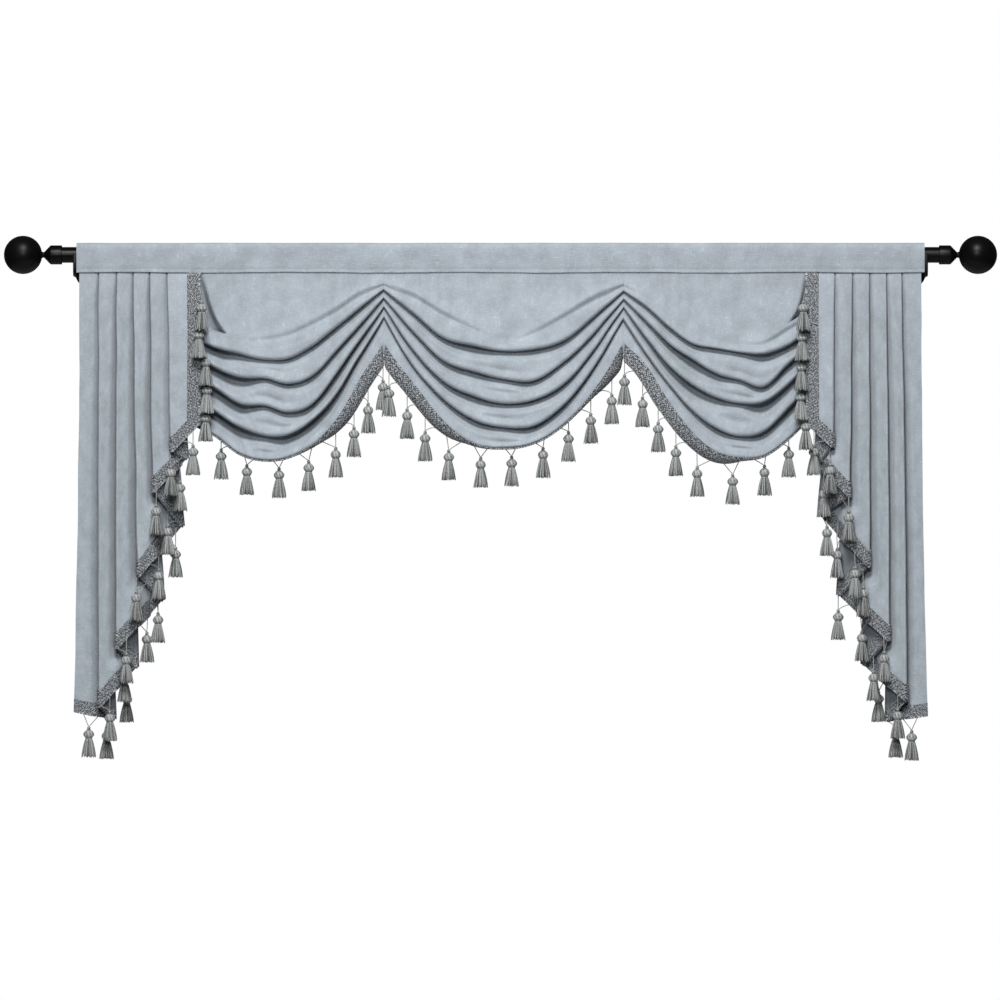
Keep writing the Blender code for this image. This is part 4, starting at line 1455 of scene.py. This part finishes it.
def chenille_finish():
    """Crushed chenille: mottled patches, short light flecks both ways, and fine ribs of
    yarn down the cloth."""
    made, tree, shader = new_finish("blue grey chenille")
    if tree is None:
        return made
    colour = tuple(bpy.context.scene.valance_cloth.chenille_colour)
    flat = add_node(tree, "UVMap", uv_map=PATTERN).outputs[0]
    patches = noise_of(tree, flat, 26.0, 4.0, 0.62)
    down = add_node(tree, "Mapping", {"Vector": flat, "Scale": (420.0, 75.0, 1.0)}).outputs[0]
    across = add_node(tree, "Mapping", {"Vector": flat, "Scale": (90.0, 380.0, 1.0)}).outputs[0]
    flecks = arithmetic(tree, "MAXIMUM", noise_of(tree, down, 1.0), noise_of(tree, across, 1.0))
    specks = ranged(tree, flecks, 0.56, 0.78, 0.0, 1.0)
    tone = weighted(tree, ranged(tree, patches, 0.3, 0.7, 0.0, 0.55), specks, 0.45)
    surface = colour_ramp(tree, tone, (
        (0.0, shade(colour, 0.80)), (0.35, shade(colour, 0.97)),
        (0.6, shade(colour, 1.08)), (1.0, shade(colour, 1.55))))
    tree.links.new(surface, shader.inputs["Base Color"])
    tree.links.new(ranged(tree, specks, 0.0, 1.0, 0.86, 0.62), shader.inputs["Roughness"])
    ribs = add_node(tree, "TexWave", {"Vector": flat, "Scale": 130.0, "Distortion": 3.0, "Detail": 2.0,
                                      "Detail Scale": 2.0}).outputs["Fac"]
    height = weighted(tree, arithmetic(tree, "MULTIPLY", ribs, 0.35), flecks, 1.3)
    height = arithmetic(tree, "ADD", height, patches)
    bumped(tree, shader, height, 0.0016, 0.55)
    shader.inputs["Sheen Weight"].default_value = 0.22
    shader.inputs["Sheen Roughness"].default_value = 0.45
    shader.inputs["Specular IOR Level"].default_value = 0.25
    return made


def wrong_side_shaded_finish():
    """The plain ground weave on the back of the chenille. Its colour is a darker copy of the chenille's
    colour: painted shade on the back of the cloth inside the folds.
    """
    made, tree, shader = new_finish("chenille wrong side, painted shade")
    if tree is None:
        return made
    # About half as bright as the chenille colour: painted shade inside the folds.
    colour = tuple(bpy.context.scene.valance_cloth.wrong_side_shaded_colour)
    flat = add_node(tree, "UVMap", uv_map=PATTERN).outputs[0]
    warp = add_node(tree, "TexWave", {"Vector": flat, "Scale": 160.0}).outputs["Fac"]
    weft = add_node(tree, "TexWave", {"Vector": flat, "Scale": 160.0}, bands_direction="Y").outputs["Fac"]
    weave = arithmetic(tree, "MULTIPLY", warp, weft)
    patches = noise_of(tree, flat, 40.0, 3.0)
    tone = weighted(tree, arithmetic(tree, "MULTIPLY", weave, 0.4), patches, 0.6)
    surface = colour_ramp(tree, tone, ((0.1, shade(colour, 0.75)), (0.8, shade(colour, 1.2))))
    tree.links.new(surface, shader.inputs["Base Color"])
    bumped(tree, shader, weave, 0.0006, 0.5)
    tree.links.new(ranged(tree, patches, 0.3, 0.7, 0.8, 0.95), shader.inputs["Roughness"])
    return made


def braid_finish():
    """Flat braid woven in lozenges, dark ones and silver ones side by side."""
    made, tree, shader = new_finish("lozenge braid")
    if tree is None:
        return made
    fringe = bpy.context.scene.valance_fringe
    dark, light = tuple(fringe.braid_dark), tuple(fringe.braid_light)
    flat = add_node(tree, "UVMap", uv_map=PATTERN).outputs[0]
    parts = add_node(tree, "SeparateXYZ", {0: flat})
    turn = math.pi / (LOZENGE * MM)
    rising = arithmetic(tree, "SINE", arithmetic(tree, "MULTIPLY", parts.outputs[0], turn))
    falling = arithmetic(tree, "SINE", arithmetic(tree, "MULTIPLY", parts.outputs[1], turn))
    lozenge = arithmetic(tree, "MULTIPLY", rising, falling)
    threads = noise_of(tree, flat, 1100.0)
    uneven = noise_of(tree, flat, 330.0)
    lozenge_tone = ranged(tree, lozenge, -1.0, 1.0, 0.0, 0.3)
    tone = arithmetic(tree, "ADD", lozenge_tone, ranged(tree, threads, 0.3, 0.7, 0.0, 0.25))
    tone = arithmetic(tree, "ADD", tone, ranged(tree, uneven, 0.35, 0.65, 0.0, 0.5))
    surface = colour_ramp(tree, tone, (
        (0.1, shade(dark, 0.6)), (0.4, dark), (0.6, shade(light, 0.45)), (0.9, light)))
    tree.links.new(surface, shader.inputs["Base Color"])
    height = weighted(tree, arithmetic(tree, "ABSOLUTE", lozenge), threads, 0.5)
    bumped(tree, shader, height, 0.0009, 0.7)
    tree.links.new(ranged(tree, threads, 0.3, 0.7, 0.45, 0.7), shader.inputs["Roughness"])
    return made


def thread_finish():
    """Silky threads of the tassels and cords, each with its own tone of grey."""
    made, tree, shader = new_finish("silky tassel threads")
    if tree is None:
        return made
    fringe = bpy.context.scene.valance_fringe
    dark, light = tuple(fringe.thread_dark), tuple(fringe.thread_light)
    parts = add_node(tree, "SeparateXYZ", {0: add_node(tree, "UVMap", uv_map=PATTERN).outputs[0]})
    place = add_node(tree, "TexCoord").outputs["Object"]
    streaks = noise_of(tree, place, 520.0)
    tone = arithmetic(tree, "ADD", parts.outputs[0], ranged(tree, streaks, 0.3, 0.7, -0.26, 0.26))
    surface = colour_ramp(tree, tone, (
        (0.0, dark), (0.3, shade(light, 0.35)), (0.65, shade(light, 0.75)), (1.0, light)))
    tree.links.new(surface, shader.inputs["Base Color"])
    bumped(tree, shader, streaks, 0.0004, 0.5)
    tree.links.new(ranged(tree, streaks, 0.3, 0.7, 0.35, 0.55), shader.inputs["Roughness"])
    return made


def metal_finish():
    """Satin black paint with a faint unevenness."""
    made, tree, shader = new_finish("satin black metal")
    if tree is None:
        return made
    colour = tuple(bpy.context.scene.valance_rod.metal_colour)
    place = add_node(tree, "TexCoord").outputs["Object"]
    grain = noise_of(tree, place, 420.0, 3.0)
    wear = noise_of(tree, place, 16.0, 4.0)
    surface = colour_ramp(tree, wear, ((0.3, shade(colour, 0.8)), (0.75, shade(colour, 1.5))))
    tree.links.new(surface, shader.inputs["Base Color"])
    tree.links.new(ranged(tree, wear, 0.3, 0.7, 0.3, 0.42), shader.inputs["Roughness"])
    shader.inputs["Specular IOR Level"].default_value = 0.12
    bumped(tree, shader, grain, 0.0002, 0.15)
    return made


def stand_for(piece, node):
    """Makes a finished piece take the place of its solid."""
    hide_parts(node)
    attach(piece, "root")


def found(name):
    piece = bpy.data.objects.get(name)
    if piece is None:
        raise RuntimeError(f"{name} isn't there yet: run the operators in the panel's order")
    return piece


def pick(obj, wanted, kind="FACE"):
    """In edit mode, selects the faces or edges whose middle passes a test."""
    bpy.ops.mesh.select_mode(type=kind)
    bpy.ops.mesh.select_all(action="DESELECT")
    bm = bmesh.from_edit_mesh(obj.data)
    items = bm.faces if kind == "FACE" else bm.edges
    for item in items:
        middle = sum((vert.co for vert in item.verts), Vector()) / len(item.verts)
        if wanted(middle, item):
            item.select_set(True)
    bmesh.update_edit_mesh(obj.data)


def stretch(along, share, centre):
    """Moves the selection along X and scales it across X, about a centre on the axis."""
    bpy.ops.mesh.extrude_region_move(TRANSFORM_OT_translate={"value": (along, 0, 0)})
    bpy.ops.transform.resize(value=(1, share, share), center_override=centre)


def finish_hard(obj, node):
    """Smooths a metal piece and lets it stand for its solid."""
    only_select(obj)
    bpy.ops.object.shade_smooth_by_angle(angle=math.radians(35))
    apply_modifiers(obj)
    obj.data.materials.clear()
    obj.data.materials.append(metal_finish())
    stand_for(obj, node)


def unite(obj, other):
    joined = obj.modifiers.new("joined", "BOOLEAN")
    joined.operation = "UNION"
    joined.solver = "EXACT"
    joined.object = other
    apply_modifiers(obj)
    bpy.data.objects.remove(other)
    return obj


def soften(obj, width, segments=3):
    bevel = obj.modifiers.new("softened edges", "BEVEL")
    bevel.width = width * MM
    bevel.segments = segments
    bevel.limit_method = "ANGLE"
    bevel.angle_limit = math.radians(25)
    return apply_modifiers(obj)


def make_finial(side, ball_radius):
    """A collar that takes the rod's end, a waisted neck and a ball, turned in one piece."""
    axis = point(0, 0, 0)
    middle = axis + Vector((side * (FINIAL_START + COLLAR_LENGTH / 2) * MM, 0, 0))
    deselect()
    bpy.ops.mesh.primitive_cylinder_add(vertices=64, radius=COLLAR_RADIUS * MM, depth=COLLAR_LENGTH * MM,
                                        location=middle, rotation=(0, math.radians(90), 0))
    collar = take_new("finial collar")
    bpy.ops.object.mode_set(mode="EDIT")
    far = side * (FINIAL_START + COLLAR_LENGTH) * MM
    near = side * FINIAL_START * MM
    pick(collar, lambda place, face: abs(place.x - far) < MM * 0.1)
    taper_radius, taper_end = COLLAR_TAPER
    stretch(side * (taper_end - COLLAR_LENGTH) * MM, taper_radius / COLLAR_RADIUS, axis)
    stretch(side * (NECK_PLACE - taper_end) * MM, NECK_RADIUS / taper_radius, axis)
    stretch(side * (NECK_END - NECK_PLACE) * MM, 1.4, axis)
    pick(collar, lambda place, face: abs(place.x - near) < MM * 0.1)
    bpy.ops.mesh.inset(thickness=(COLLAR_RADIUS - RECESS_RADIUS) * MM)
    bpy.ops.mesh.extrude_region_move(TRANSFORM_OT_translate={"value": (side * RECESS_DEPTH * MM, 0, 0)})
    bpy.ops.mesh.select_all(action="SELECT")
    bpy.ops.mesh.normals_make_consistent(inside=False)
    bpy.ops.object.mode_set(mode="OBJECT")
    soften(collar, 0.9)
    deselect()
    bpy.ops.mesh.primitive_uv_sphere_add(segments=64, ring_count=32, radius=ball_radius,
                                         location=axis + Vector((side * BALL_CENTRE * MM, 0, 0)))
    return unite(collar, take_new("finial ball"))


def arm_outline():
    """The bracket's arm and its seat for the rod, as (distance from the wall, drop)."""
    seat = [(ROD_FROM_WALL + SEAT_RADIUS * math.cos(math.radians(a)), SEAT_RADIUS * math.sin(math.radians(a)))
            for a in range(0, 181, 6)]
    nose = ROD_FROM_WALL + SEAT_RADIUS + SEAT_WALL
    heel = ROD_FROM_WALL - SEAT_RADIUS - SEAT_WALL
    nose_middle = (nose - ARM_NOSE_RADIUS, ARM_BOTTOM_DROP - ARM_NOSE_RADIUS)
    corner = [(nose_middle[0] + ARM_NOSE_RADIUS * math.sin(math.radians(a)),
               nose_middle[1] + ARM_NOSE_RADIUS * math.cos(math.radians(a))) for a in range(0, 91, 9)]
    outline = [(ARM_ROOT, ARM_TOP_DROP), (ARM_ROOT, ARM_BOTTOM_DROP)]
    outline += corner
    outline += [(nose, -SEAT_RIM), (ROD_FROM_WALL + SEAT_RADIUS, -SEAT_RIM)]
    outline += seat
    outline += [(ROD_FROM_WALL - SEAT_RADIUS, -SEAT_RIM), (heel, -SEAT_RIM), (heel, ARM_TOP_DROP)]
    return outline


def make_arm(side):
    """The flat arm, cut from plate along its outline, with softened edges."""
    deselect()
    curve = bpy.data.curves.new("bracket arm", "CURVE")
    curve.dimensions = "2D"
    curve.fill_mode = "BOTH"
    curve.extrude = ARM_WIDTH / 2 * MM
    spline = curve.splines.new("POLY")
    outline = arm_outline()
    spline.points.add(len(outline) - 1)
    for control, (away, drop) in zip(spline.points, outline):
        control.co = (-away * MM, -drop * MM, 0, 1)
    spline.use_cyclic_u = True
    arm = bpy.data.objects.new("bracket arm", curve)
    bpy.context.scene.collection.objects.link(arm)
    only_select(arm)
    bpy.ops.object.convert(target="MESH")
    arm = bpy.context.active_object
    arm.matrix_world = Matrix.Translation((side * (ARM_NEAR_X + ARM_WIDTH / 2) * MM, 0, 0)) @ Matrix(
        ((0, 0, 1, 0), (1, 0, 0, 0), (0, 1, 0, 0), (0, 0, 0, 1)))
    arm = take_new("bracket arm")
    bpy.ops.object.mode_set(mode="EDIT")
    bpy.ops.mesh.select_all(action="SELECT")
    bpy.ops.mesh.remove_doubles(threshold=0.00001)
    bpy.ops.mesh.normals_make_consistent(inside=False)
    bpy.ops.object.mode_set(mode="OBJECT")
    return soften(arm, 0.6, 2)


def make_plate(side):
    deselect()
    bpy.ops.mesh.primitive_cylinder_add(
        vertices=64, radius=PLATE_RADIUS * MM, depth=PLATE_THICKNESS * MM, rotation=(math.radians(90), 0, 0),
        location=(side * PLATE_X * MM, -PLATE_THICKNESS / 2 * MM, -PLATE_DROP * MM))
    return soften(take_new("bracket plate"), 1.2)


def add_area_light(settings):
    """A soft light that points at the valance's middle."""
    bpy.ops.object.light_add(type="AREA", location=settings.place)
    light = bpy.context.active_object
    light.name = settings.name
    light.data.shape = "RECTANGLE"
    light.data.size, light.data.size_y = settings.size
    light.data.energy = settings.power
    light.data.spread = math.radians(LIGHT_SPREAD)
    way = Vector(LOOK_AT) - Vector(settings.place)
    light.rotation_euler = way.to_track_quat("-Z", "Y").to_euler()


def add_camera():
    """A camera far in front, whose picture is as wide at the valance as the photo is."""
    camera = bpy.data.cameras.new("photograph view")
    camera.lens = LENS
    camera.sensor_width = SENSOR
    camera.clip_end = 100.0
    holder = bpy.data.objects.new("photograph view", camera)
    bpy.context.scene.collection.objects.link(holder)
    x, y, z = PICTURE_MIDDLE
    distance = PICTURE_WIDTH / 2 / (camera.sensor_width / 2 / camera.lens)
    holder.location = (x, y - distance, z)
    holder.rotation_euler = (math.radians(90), 0, 0)
    return holder


def set_world(brightness):
    """A white surround for the camera, and a dimmer one that lights the object."""
    world = bpy.data.worlds.new("studio surround")
    bpy.context.scene.world = world
    world.use_nodes = True
    tree = world.node_tree
    tree.nodes.clear()
    lit = add_node(tree, "Background", {"Color": (1.0, 1.0, 1.0, 1.0), "Strength": brightness})
    seen = add_node(tree, "Background", {"Color": (1.0, 1.0, 1.0, 1.0), "Strength": 1.0})
    seen_now = add_node(tree, "LightPath").outputs["Is Camera Ray"]
    both = add_node(tree, "MixShader", {0: seen_now, 1: lit.outputs[0], 2: seen.outputs[0]})
    tree.links.new(both.outputs[0], add_node(tree, "OutputWorld").inputs[0])


class ValanceClothSettings(bpy.types.PropertyGroup):
    chenille_colour: bpy.props.FloatVectorProperty(
        name="Chenille", description="Colour of the right side of the cloth",
        default=(0.335, 0.375, 0.415), size=3, min=0.0, max=1.0, subtype="COLOR")
    # The back of the cloth is a darker copy of the chenille colour, as painted shade inside the folds.
    wrong_side_shaded_colour: bpy.props.FloatVectorProperty(
        name="Wrong side", description="Colour of the back of the cloth, seen inside the folds",
        default=(0.17, 0.19, 0.215), size=3, min=0.0, max=1.0, subtype="COLOR")
    thickness: bpy.props.FloatProperty(
        name="Thickness", description="Thickness of the cloth", default=0.002, min=0.001, max=0.003,
        unit="LENGTH")


class ValanceFringeSettings(bpy.types.PropertyGroup):
    braid_dark: bpy.props.FloatVectorProperty(
        name="Braid, dark", description="Colour of the braid's dark lozenges",
        default=(0.035, 0.039, 0.046), size=3, min=0.0, max=1.0, subtype="COLOR")
    braid_light: bpy.props.FloatVectorProperty(
        name="Braid, light", description="Colour of the braid's silver lozenges",
        default=(0.47, 0.50, 0.53), size=3, min=0.0, max=1.0, subtype="COLOR")
    thread_dark: bpy.props.FloatVectorProperty(
        name="Threads, dark", description="Colour of a tassel's darkest threads",
        default=(0.05, 0.055, 0.058), size=3, min=0.0, max=1.0, subtype="COLOR")
    thread_light: bpy.props.FloatVectorProperty(
        name="Threads, light", description="Colour of a tassel's lightest threads",
        default=(0.37, 0.385, 0.385), size=3, min=0.0, max=1.0, subtype="COLOR")
    braid_thickness: bpy.props.FloatProperty(
        name="Braid thickness", description="Thickness of the braid", default=0.0018, min=0.001, max=0.003,
        unit="LENGTH")


class ValanceRodSettings(bpy.types.PropertyGroup):
    metal_colour: bpy.props.FloatVectorProperty(
        name="Metal", description="Colour of the rod, the finials and the brackets",
        default=(0.0022, 0.0022, 0.0025), size=3, min=0.0, max=1.0, subtype="COLOR")
    rod_length: bpy.props.FloatProperty(
        name="Rod length", description="Length of the rod, without its finials",
        default=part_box("rod")[1].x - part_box("rod")[0].x, min=0.5, max=4.0, unit="LENGTH")
    ball_radius: bpy.props.FloatProperty(
        name="Ball radius", description="Radius of the finials' balls",
        default=BALL_RADIUS * MM, min=0.02, max=0.05, unit="LENGTH")


class ValanceStageSettings(bpy.types.PropertyGroup):
    floor_drop: bpy.props.FloatProperty(
        name="Floor", description="How far the floor lies below the rod", default=1.75, min=1.0, max=3.0,
        unit="LENGTH")
    floor_colour: bpy.props.FloatVectorProperty(
        name="Floor colour", description="Colour of the plain floor",
        default=(0.8, 0.8, 0.8), size=3, min=0.0, max=1.0, subtype="COLOR")
    surround: bpy.props.FloatProperty(
        name="Surround", description="How brightly the surround lights the valance",
        default=0.05, min=0.0, max=2.0)


class VALANCE_OT_heading(bpy.types.Operator):
    """Make the heading sleeve that goes over the rod"""

    bl_idname = "valance.heading"
    bl_label = "Heading"

    def execute(self, context):
        rows = heading_rows()
        heading = cloth_sheet("heading_cloth", rows, -1, context.scene.valance_cloth.thickness)
        stand_for(heading, "heading")
        return {"FINISHED"}


class VALANCE_OT_swags(bpy.types.Operator):
    """Make the three swags with their soft rolls"""

    bl_idname = "valance.swags"
    bl_label = "Swags"

    def execute(self, context):
        thickness = context.scene.valance_cloth.thickness
        for swag in SWAGS:
            columns = even_columns(swag, SWAG_COLUMN)
            rows = [[swag_point(swag, u, level) for u in columns] for level in swag_levels(swag)]
            cloth = cloth_sheet(f"swag_{swag.name}_cloth", rows, -1, thickness)
            stand_for(cloth, "swag_" + swag.name)
        return {"FINISHED"}


class VALANCE_OT_jabots(bpy.types.Operator):
    """Make the two pleated tails"""

    bl_idname = "valance.jabots"
    bl_label = "Jabots"

    def execute(self, context):
        thickness = context.scene.valance_cloth.thickness
        for jabot in JABOTS:
            rows = [jabot_section(jabot, v, FACET_STEPS, EDGE_STEPS) for v in jabot_levels(JABOT_ROW)]
            cloth = cloth_sheet(f"jabot_{jabot.name}_cloth", rows, jabot.side, thickness, BOUND_ROWS)
            stand_for(cloth, "jabot_" + jabot.name)
        return {"FINISHED"}


class VALANCE_OT_fringes(bpy.types.Operator):
    """Sew the braid and its tassels to each swag and jabot"""

    bl_idname = "valance.fringes"
    bl_label = "Braid and tassels"

    def execute(self, context):
        cloths, strips, hung = [], [], []
        for swag in SWAGS:
            rows, flat = swag_braid(swag)
            bm, table = grid_bmesh(rows)
            write_pattern(bm, table, flat)
            strips.append(braid_strip("swag_" + swag.name, bm))
            cloth = found(f"swag_{swag.name}_cloth")
            cloths.append((cloth, "fringe_swag_" + swag.name, swag.cut, "gathered"))
            hung.append(swag_tassels(swag))
        for jabot in JABOTS:
            rows, flat, edge_rows, side_columns = jabot_braid(jabot)
            bm, table = grid_bmesh(rows)
            write_pattern(bm, table, flat)
            keep_braid(bm, table, edge_rows, side_columns)
            strips.append(braid_strip("jabot_" + jabot.name, bm))
            cloth = found(f"jabot_{jabot.name}_cloth")
            cloths.append((cloth, "fringe_jabot_" + jabot.name, jabot.cut, "folded"))
            hung.append(jabot_tassels(jabot, rows))
        patterns = [tassel_pattern(seed) for seed in (11, 23, 37)]
        graph = context.evaluated_depsgraph_get()
        obstacles = [BVHTree.FromObject(piece, graph) for piece in [found("heading_cloth"), *strips]]
        obstacles += [BVHTree.FromObject(cloth, graph) for cloth, *_ in cloths]
        for strip, (cloth, node, cut, held), tassels in zip(strips, cloths, hung):
            add_tassels(strip, tassels, patterns, obstacles)
            stand_for(strip, node)
        return {"FINISHED"}


def add_tassels(strip, tassels, patterns, obstacles):
    """Hangs a strip's tassels one in front of the other and joins them to it."""
    bm = bmesh.new()
    bm.from_mesh(strip.data)
    for face in bm.faces:
        face.smooth = True
    for index, (high, low, knot, leans) in enumerate(tassels):
        clear_depth(high, low, knot, leans, obstacles)
        one = hung_tassel(patterns[index % len(patterns)], high, low, knot, leans, index * 1.1)
        if not leans:
            obstacles.append(BVHTree.FromBMesh(one))
        spare = bpy.data.meshes.new("spare")
        one.to_mesh(spare)
        one.free()
        bm.from_mesh(spare)
        bpy.data.meshes.remove(spare)
    bm.to_mesh(strip.data)
    bm.free()


class VALANCE_OT_rod(bpy.types.Operator):
    """Make the rod"""

    bl_idname = "valance.rod"
    bl_label = "Rod"

    def execute(self, context):
        deselect()
        bpy.ops.mesh.primitive_cylinder_add(
            vertices=64, radius=ROD_RADIUS * MM, depth=context.scene.valance_rod.rod_length,
            end_fill_type="NOTHING", location=point(0, 0, 0), rotation=(0, math.radians(90), 0))
        rod = take_new("rod_tube")
        wall = rod.modifiers.new("wall", "SOLIDIFY")
        wall.thickness = ROD_WALL * MM
        wall.offset = -1.0
        apply_modifiers(rod)
        finish_hard(rod, "rod")
        return {"FINISHED"}


class VALANCE_OT_finials(bpy.types.Operator):
    """Turn the two finials"""

    bl_idname = "valance.finials"
    bl_label = "Finials"

    def execute(self, context):
        for name, side in (("left", -1), ("right", 1)):
            finial = make_finial(side, context.scene.valance_rod.ball_radius)
            finial.name = f"finial_{name}_ball"
            finish_hard(finial, "finial_" + name)
        return {"FINISHED"}


class VALANCE_OT_brackets(bpy.types.Operator):
    """Make the two wall brackets"""

    bl_idname = "valance.brackets"
    bl_label = "Brackets"

    def execute(self, context):
        for name, side in (("left", -1), ("right", 1)):
            bracket = unite(make_arm(side), make_plate(side))
            bracket.name = f"bracket_{name}_arm"
            finish_hard(bracket, "bracket_" + name)
        return {"FINISHED"}


class VALANCE_OT_stage(bpy.types.Operator):
    """Set up the floor, the lights, the surround and the camera"""

    bl_idname = "valance.stage"
    bl_label = "Stage"

    def execute(self, context):
        settings = context.scene.valance_stage
        deselect()
        bpy.ops.mesh.primitive_circle_add(vertices=128, radius=3.0, fill_type="NGON",
                                          location=(0, 0, -settings.floor_drop))
        floor = take_new("studio_floor")
        finish, _, shader = new_finish("plain pale floor")
        shader.inputs["Base Color"].default_value = (*settings.floor_colour, 1.0)
        shader.inputs["Roughness"].default_value = 0.9
        floor.data.materials.append(finish)
        for light in LIGHTS:
            add_area_light(light)
        set_world(settings.surround)
        context.scene.view_settings.view_transform = "Standard"
        context.scene.camera = add_camera()
        return {"FINISHED"}


OPERATORS = (
    VALANCE_OT_rod,
    VALANCE_OT_finials,
    VALANCE_OT_brackets,
    VALANCE_OT_heading,
    VALANCE_OT_swags,
    VALANCE_OT_jabots,
    VALANCE_OT_fringes,
    VALANCE_OT_stage,
)


class VALANCE_PT_pieces(bpy.types.Panel):
    """Lists the pieces and the settings"""

    bl_label = "Chenille Valance"
    bl_idname = "VALANCE_PT_pieces"
    bl_space_type = "VIEW_3D"
    bl_region_type = "UI"
    bl_category = "Valance"

    def draw(self, context):
        for operator in OPERATORS:
            self.layout.operator(operator.bl_idname)
        for group in SETTINGS:
            settings = getattr(context.scene, group)
            for name in settings.bl_rna.properties.keys():
                if name not in ("name", "rna_type"):
                    self.layout.prop(settings, name)


SETTINGS = {
    "valance_cloth": ValanceClothSettings,
    "valance_fringe": ValanceFringeSettings,
    "valance_rod": ValanceRodSettings,
    "valance_stage": ValanceStageSettings,
}


def register():
    for name, group in SETTINGS.items():
        bpy.utils.register_class(group)
        setattr(bpy.types.Scene, name, bpy.props.PointerProperty(type=group))
    for made in (*OPERATORS, VALANCE_PT_pieces):
        bpy.utils.register_class(made)


def unregister():
    for made in (VALANCE_PT_pieces, *reversed(OPERATORS)):
        bpy.utils.unregister_class(made)
    for name, group in SETTINGS.items():
        delattr(bpy.types.Scene, name)
        bpy.utils.unregister_class(group)


def main():
    register()
    deselect()
    for operator in OPERATORS:
        group, name = operator.bl_idname.split(".")
        getattr(getattr(bpy.ops, group), name)()
    deselect()


if __name__ == "__main__":
    main()
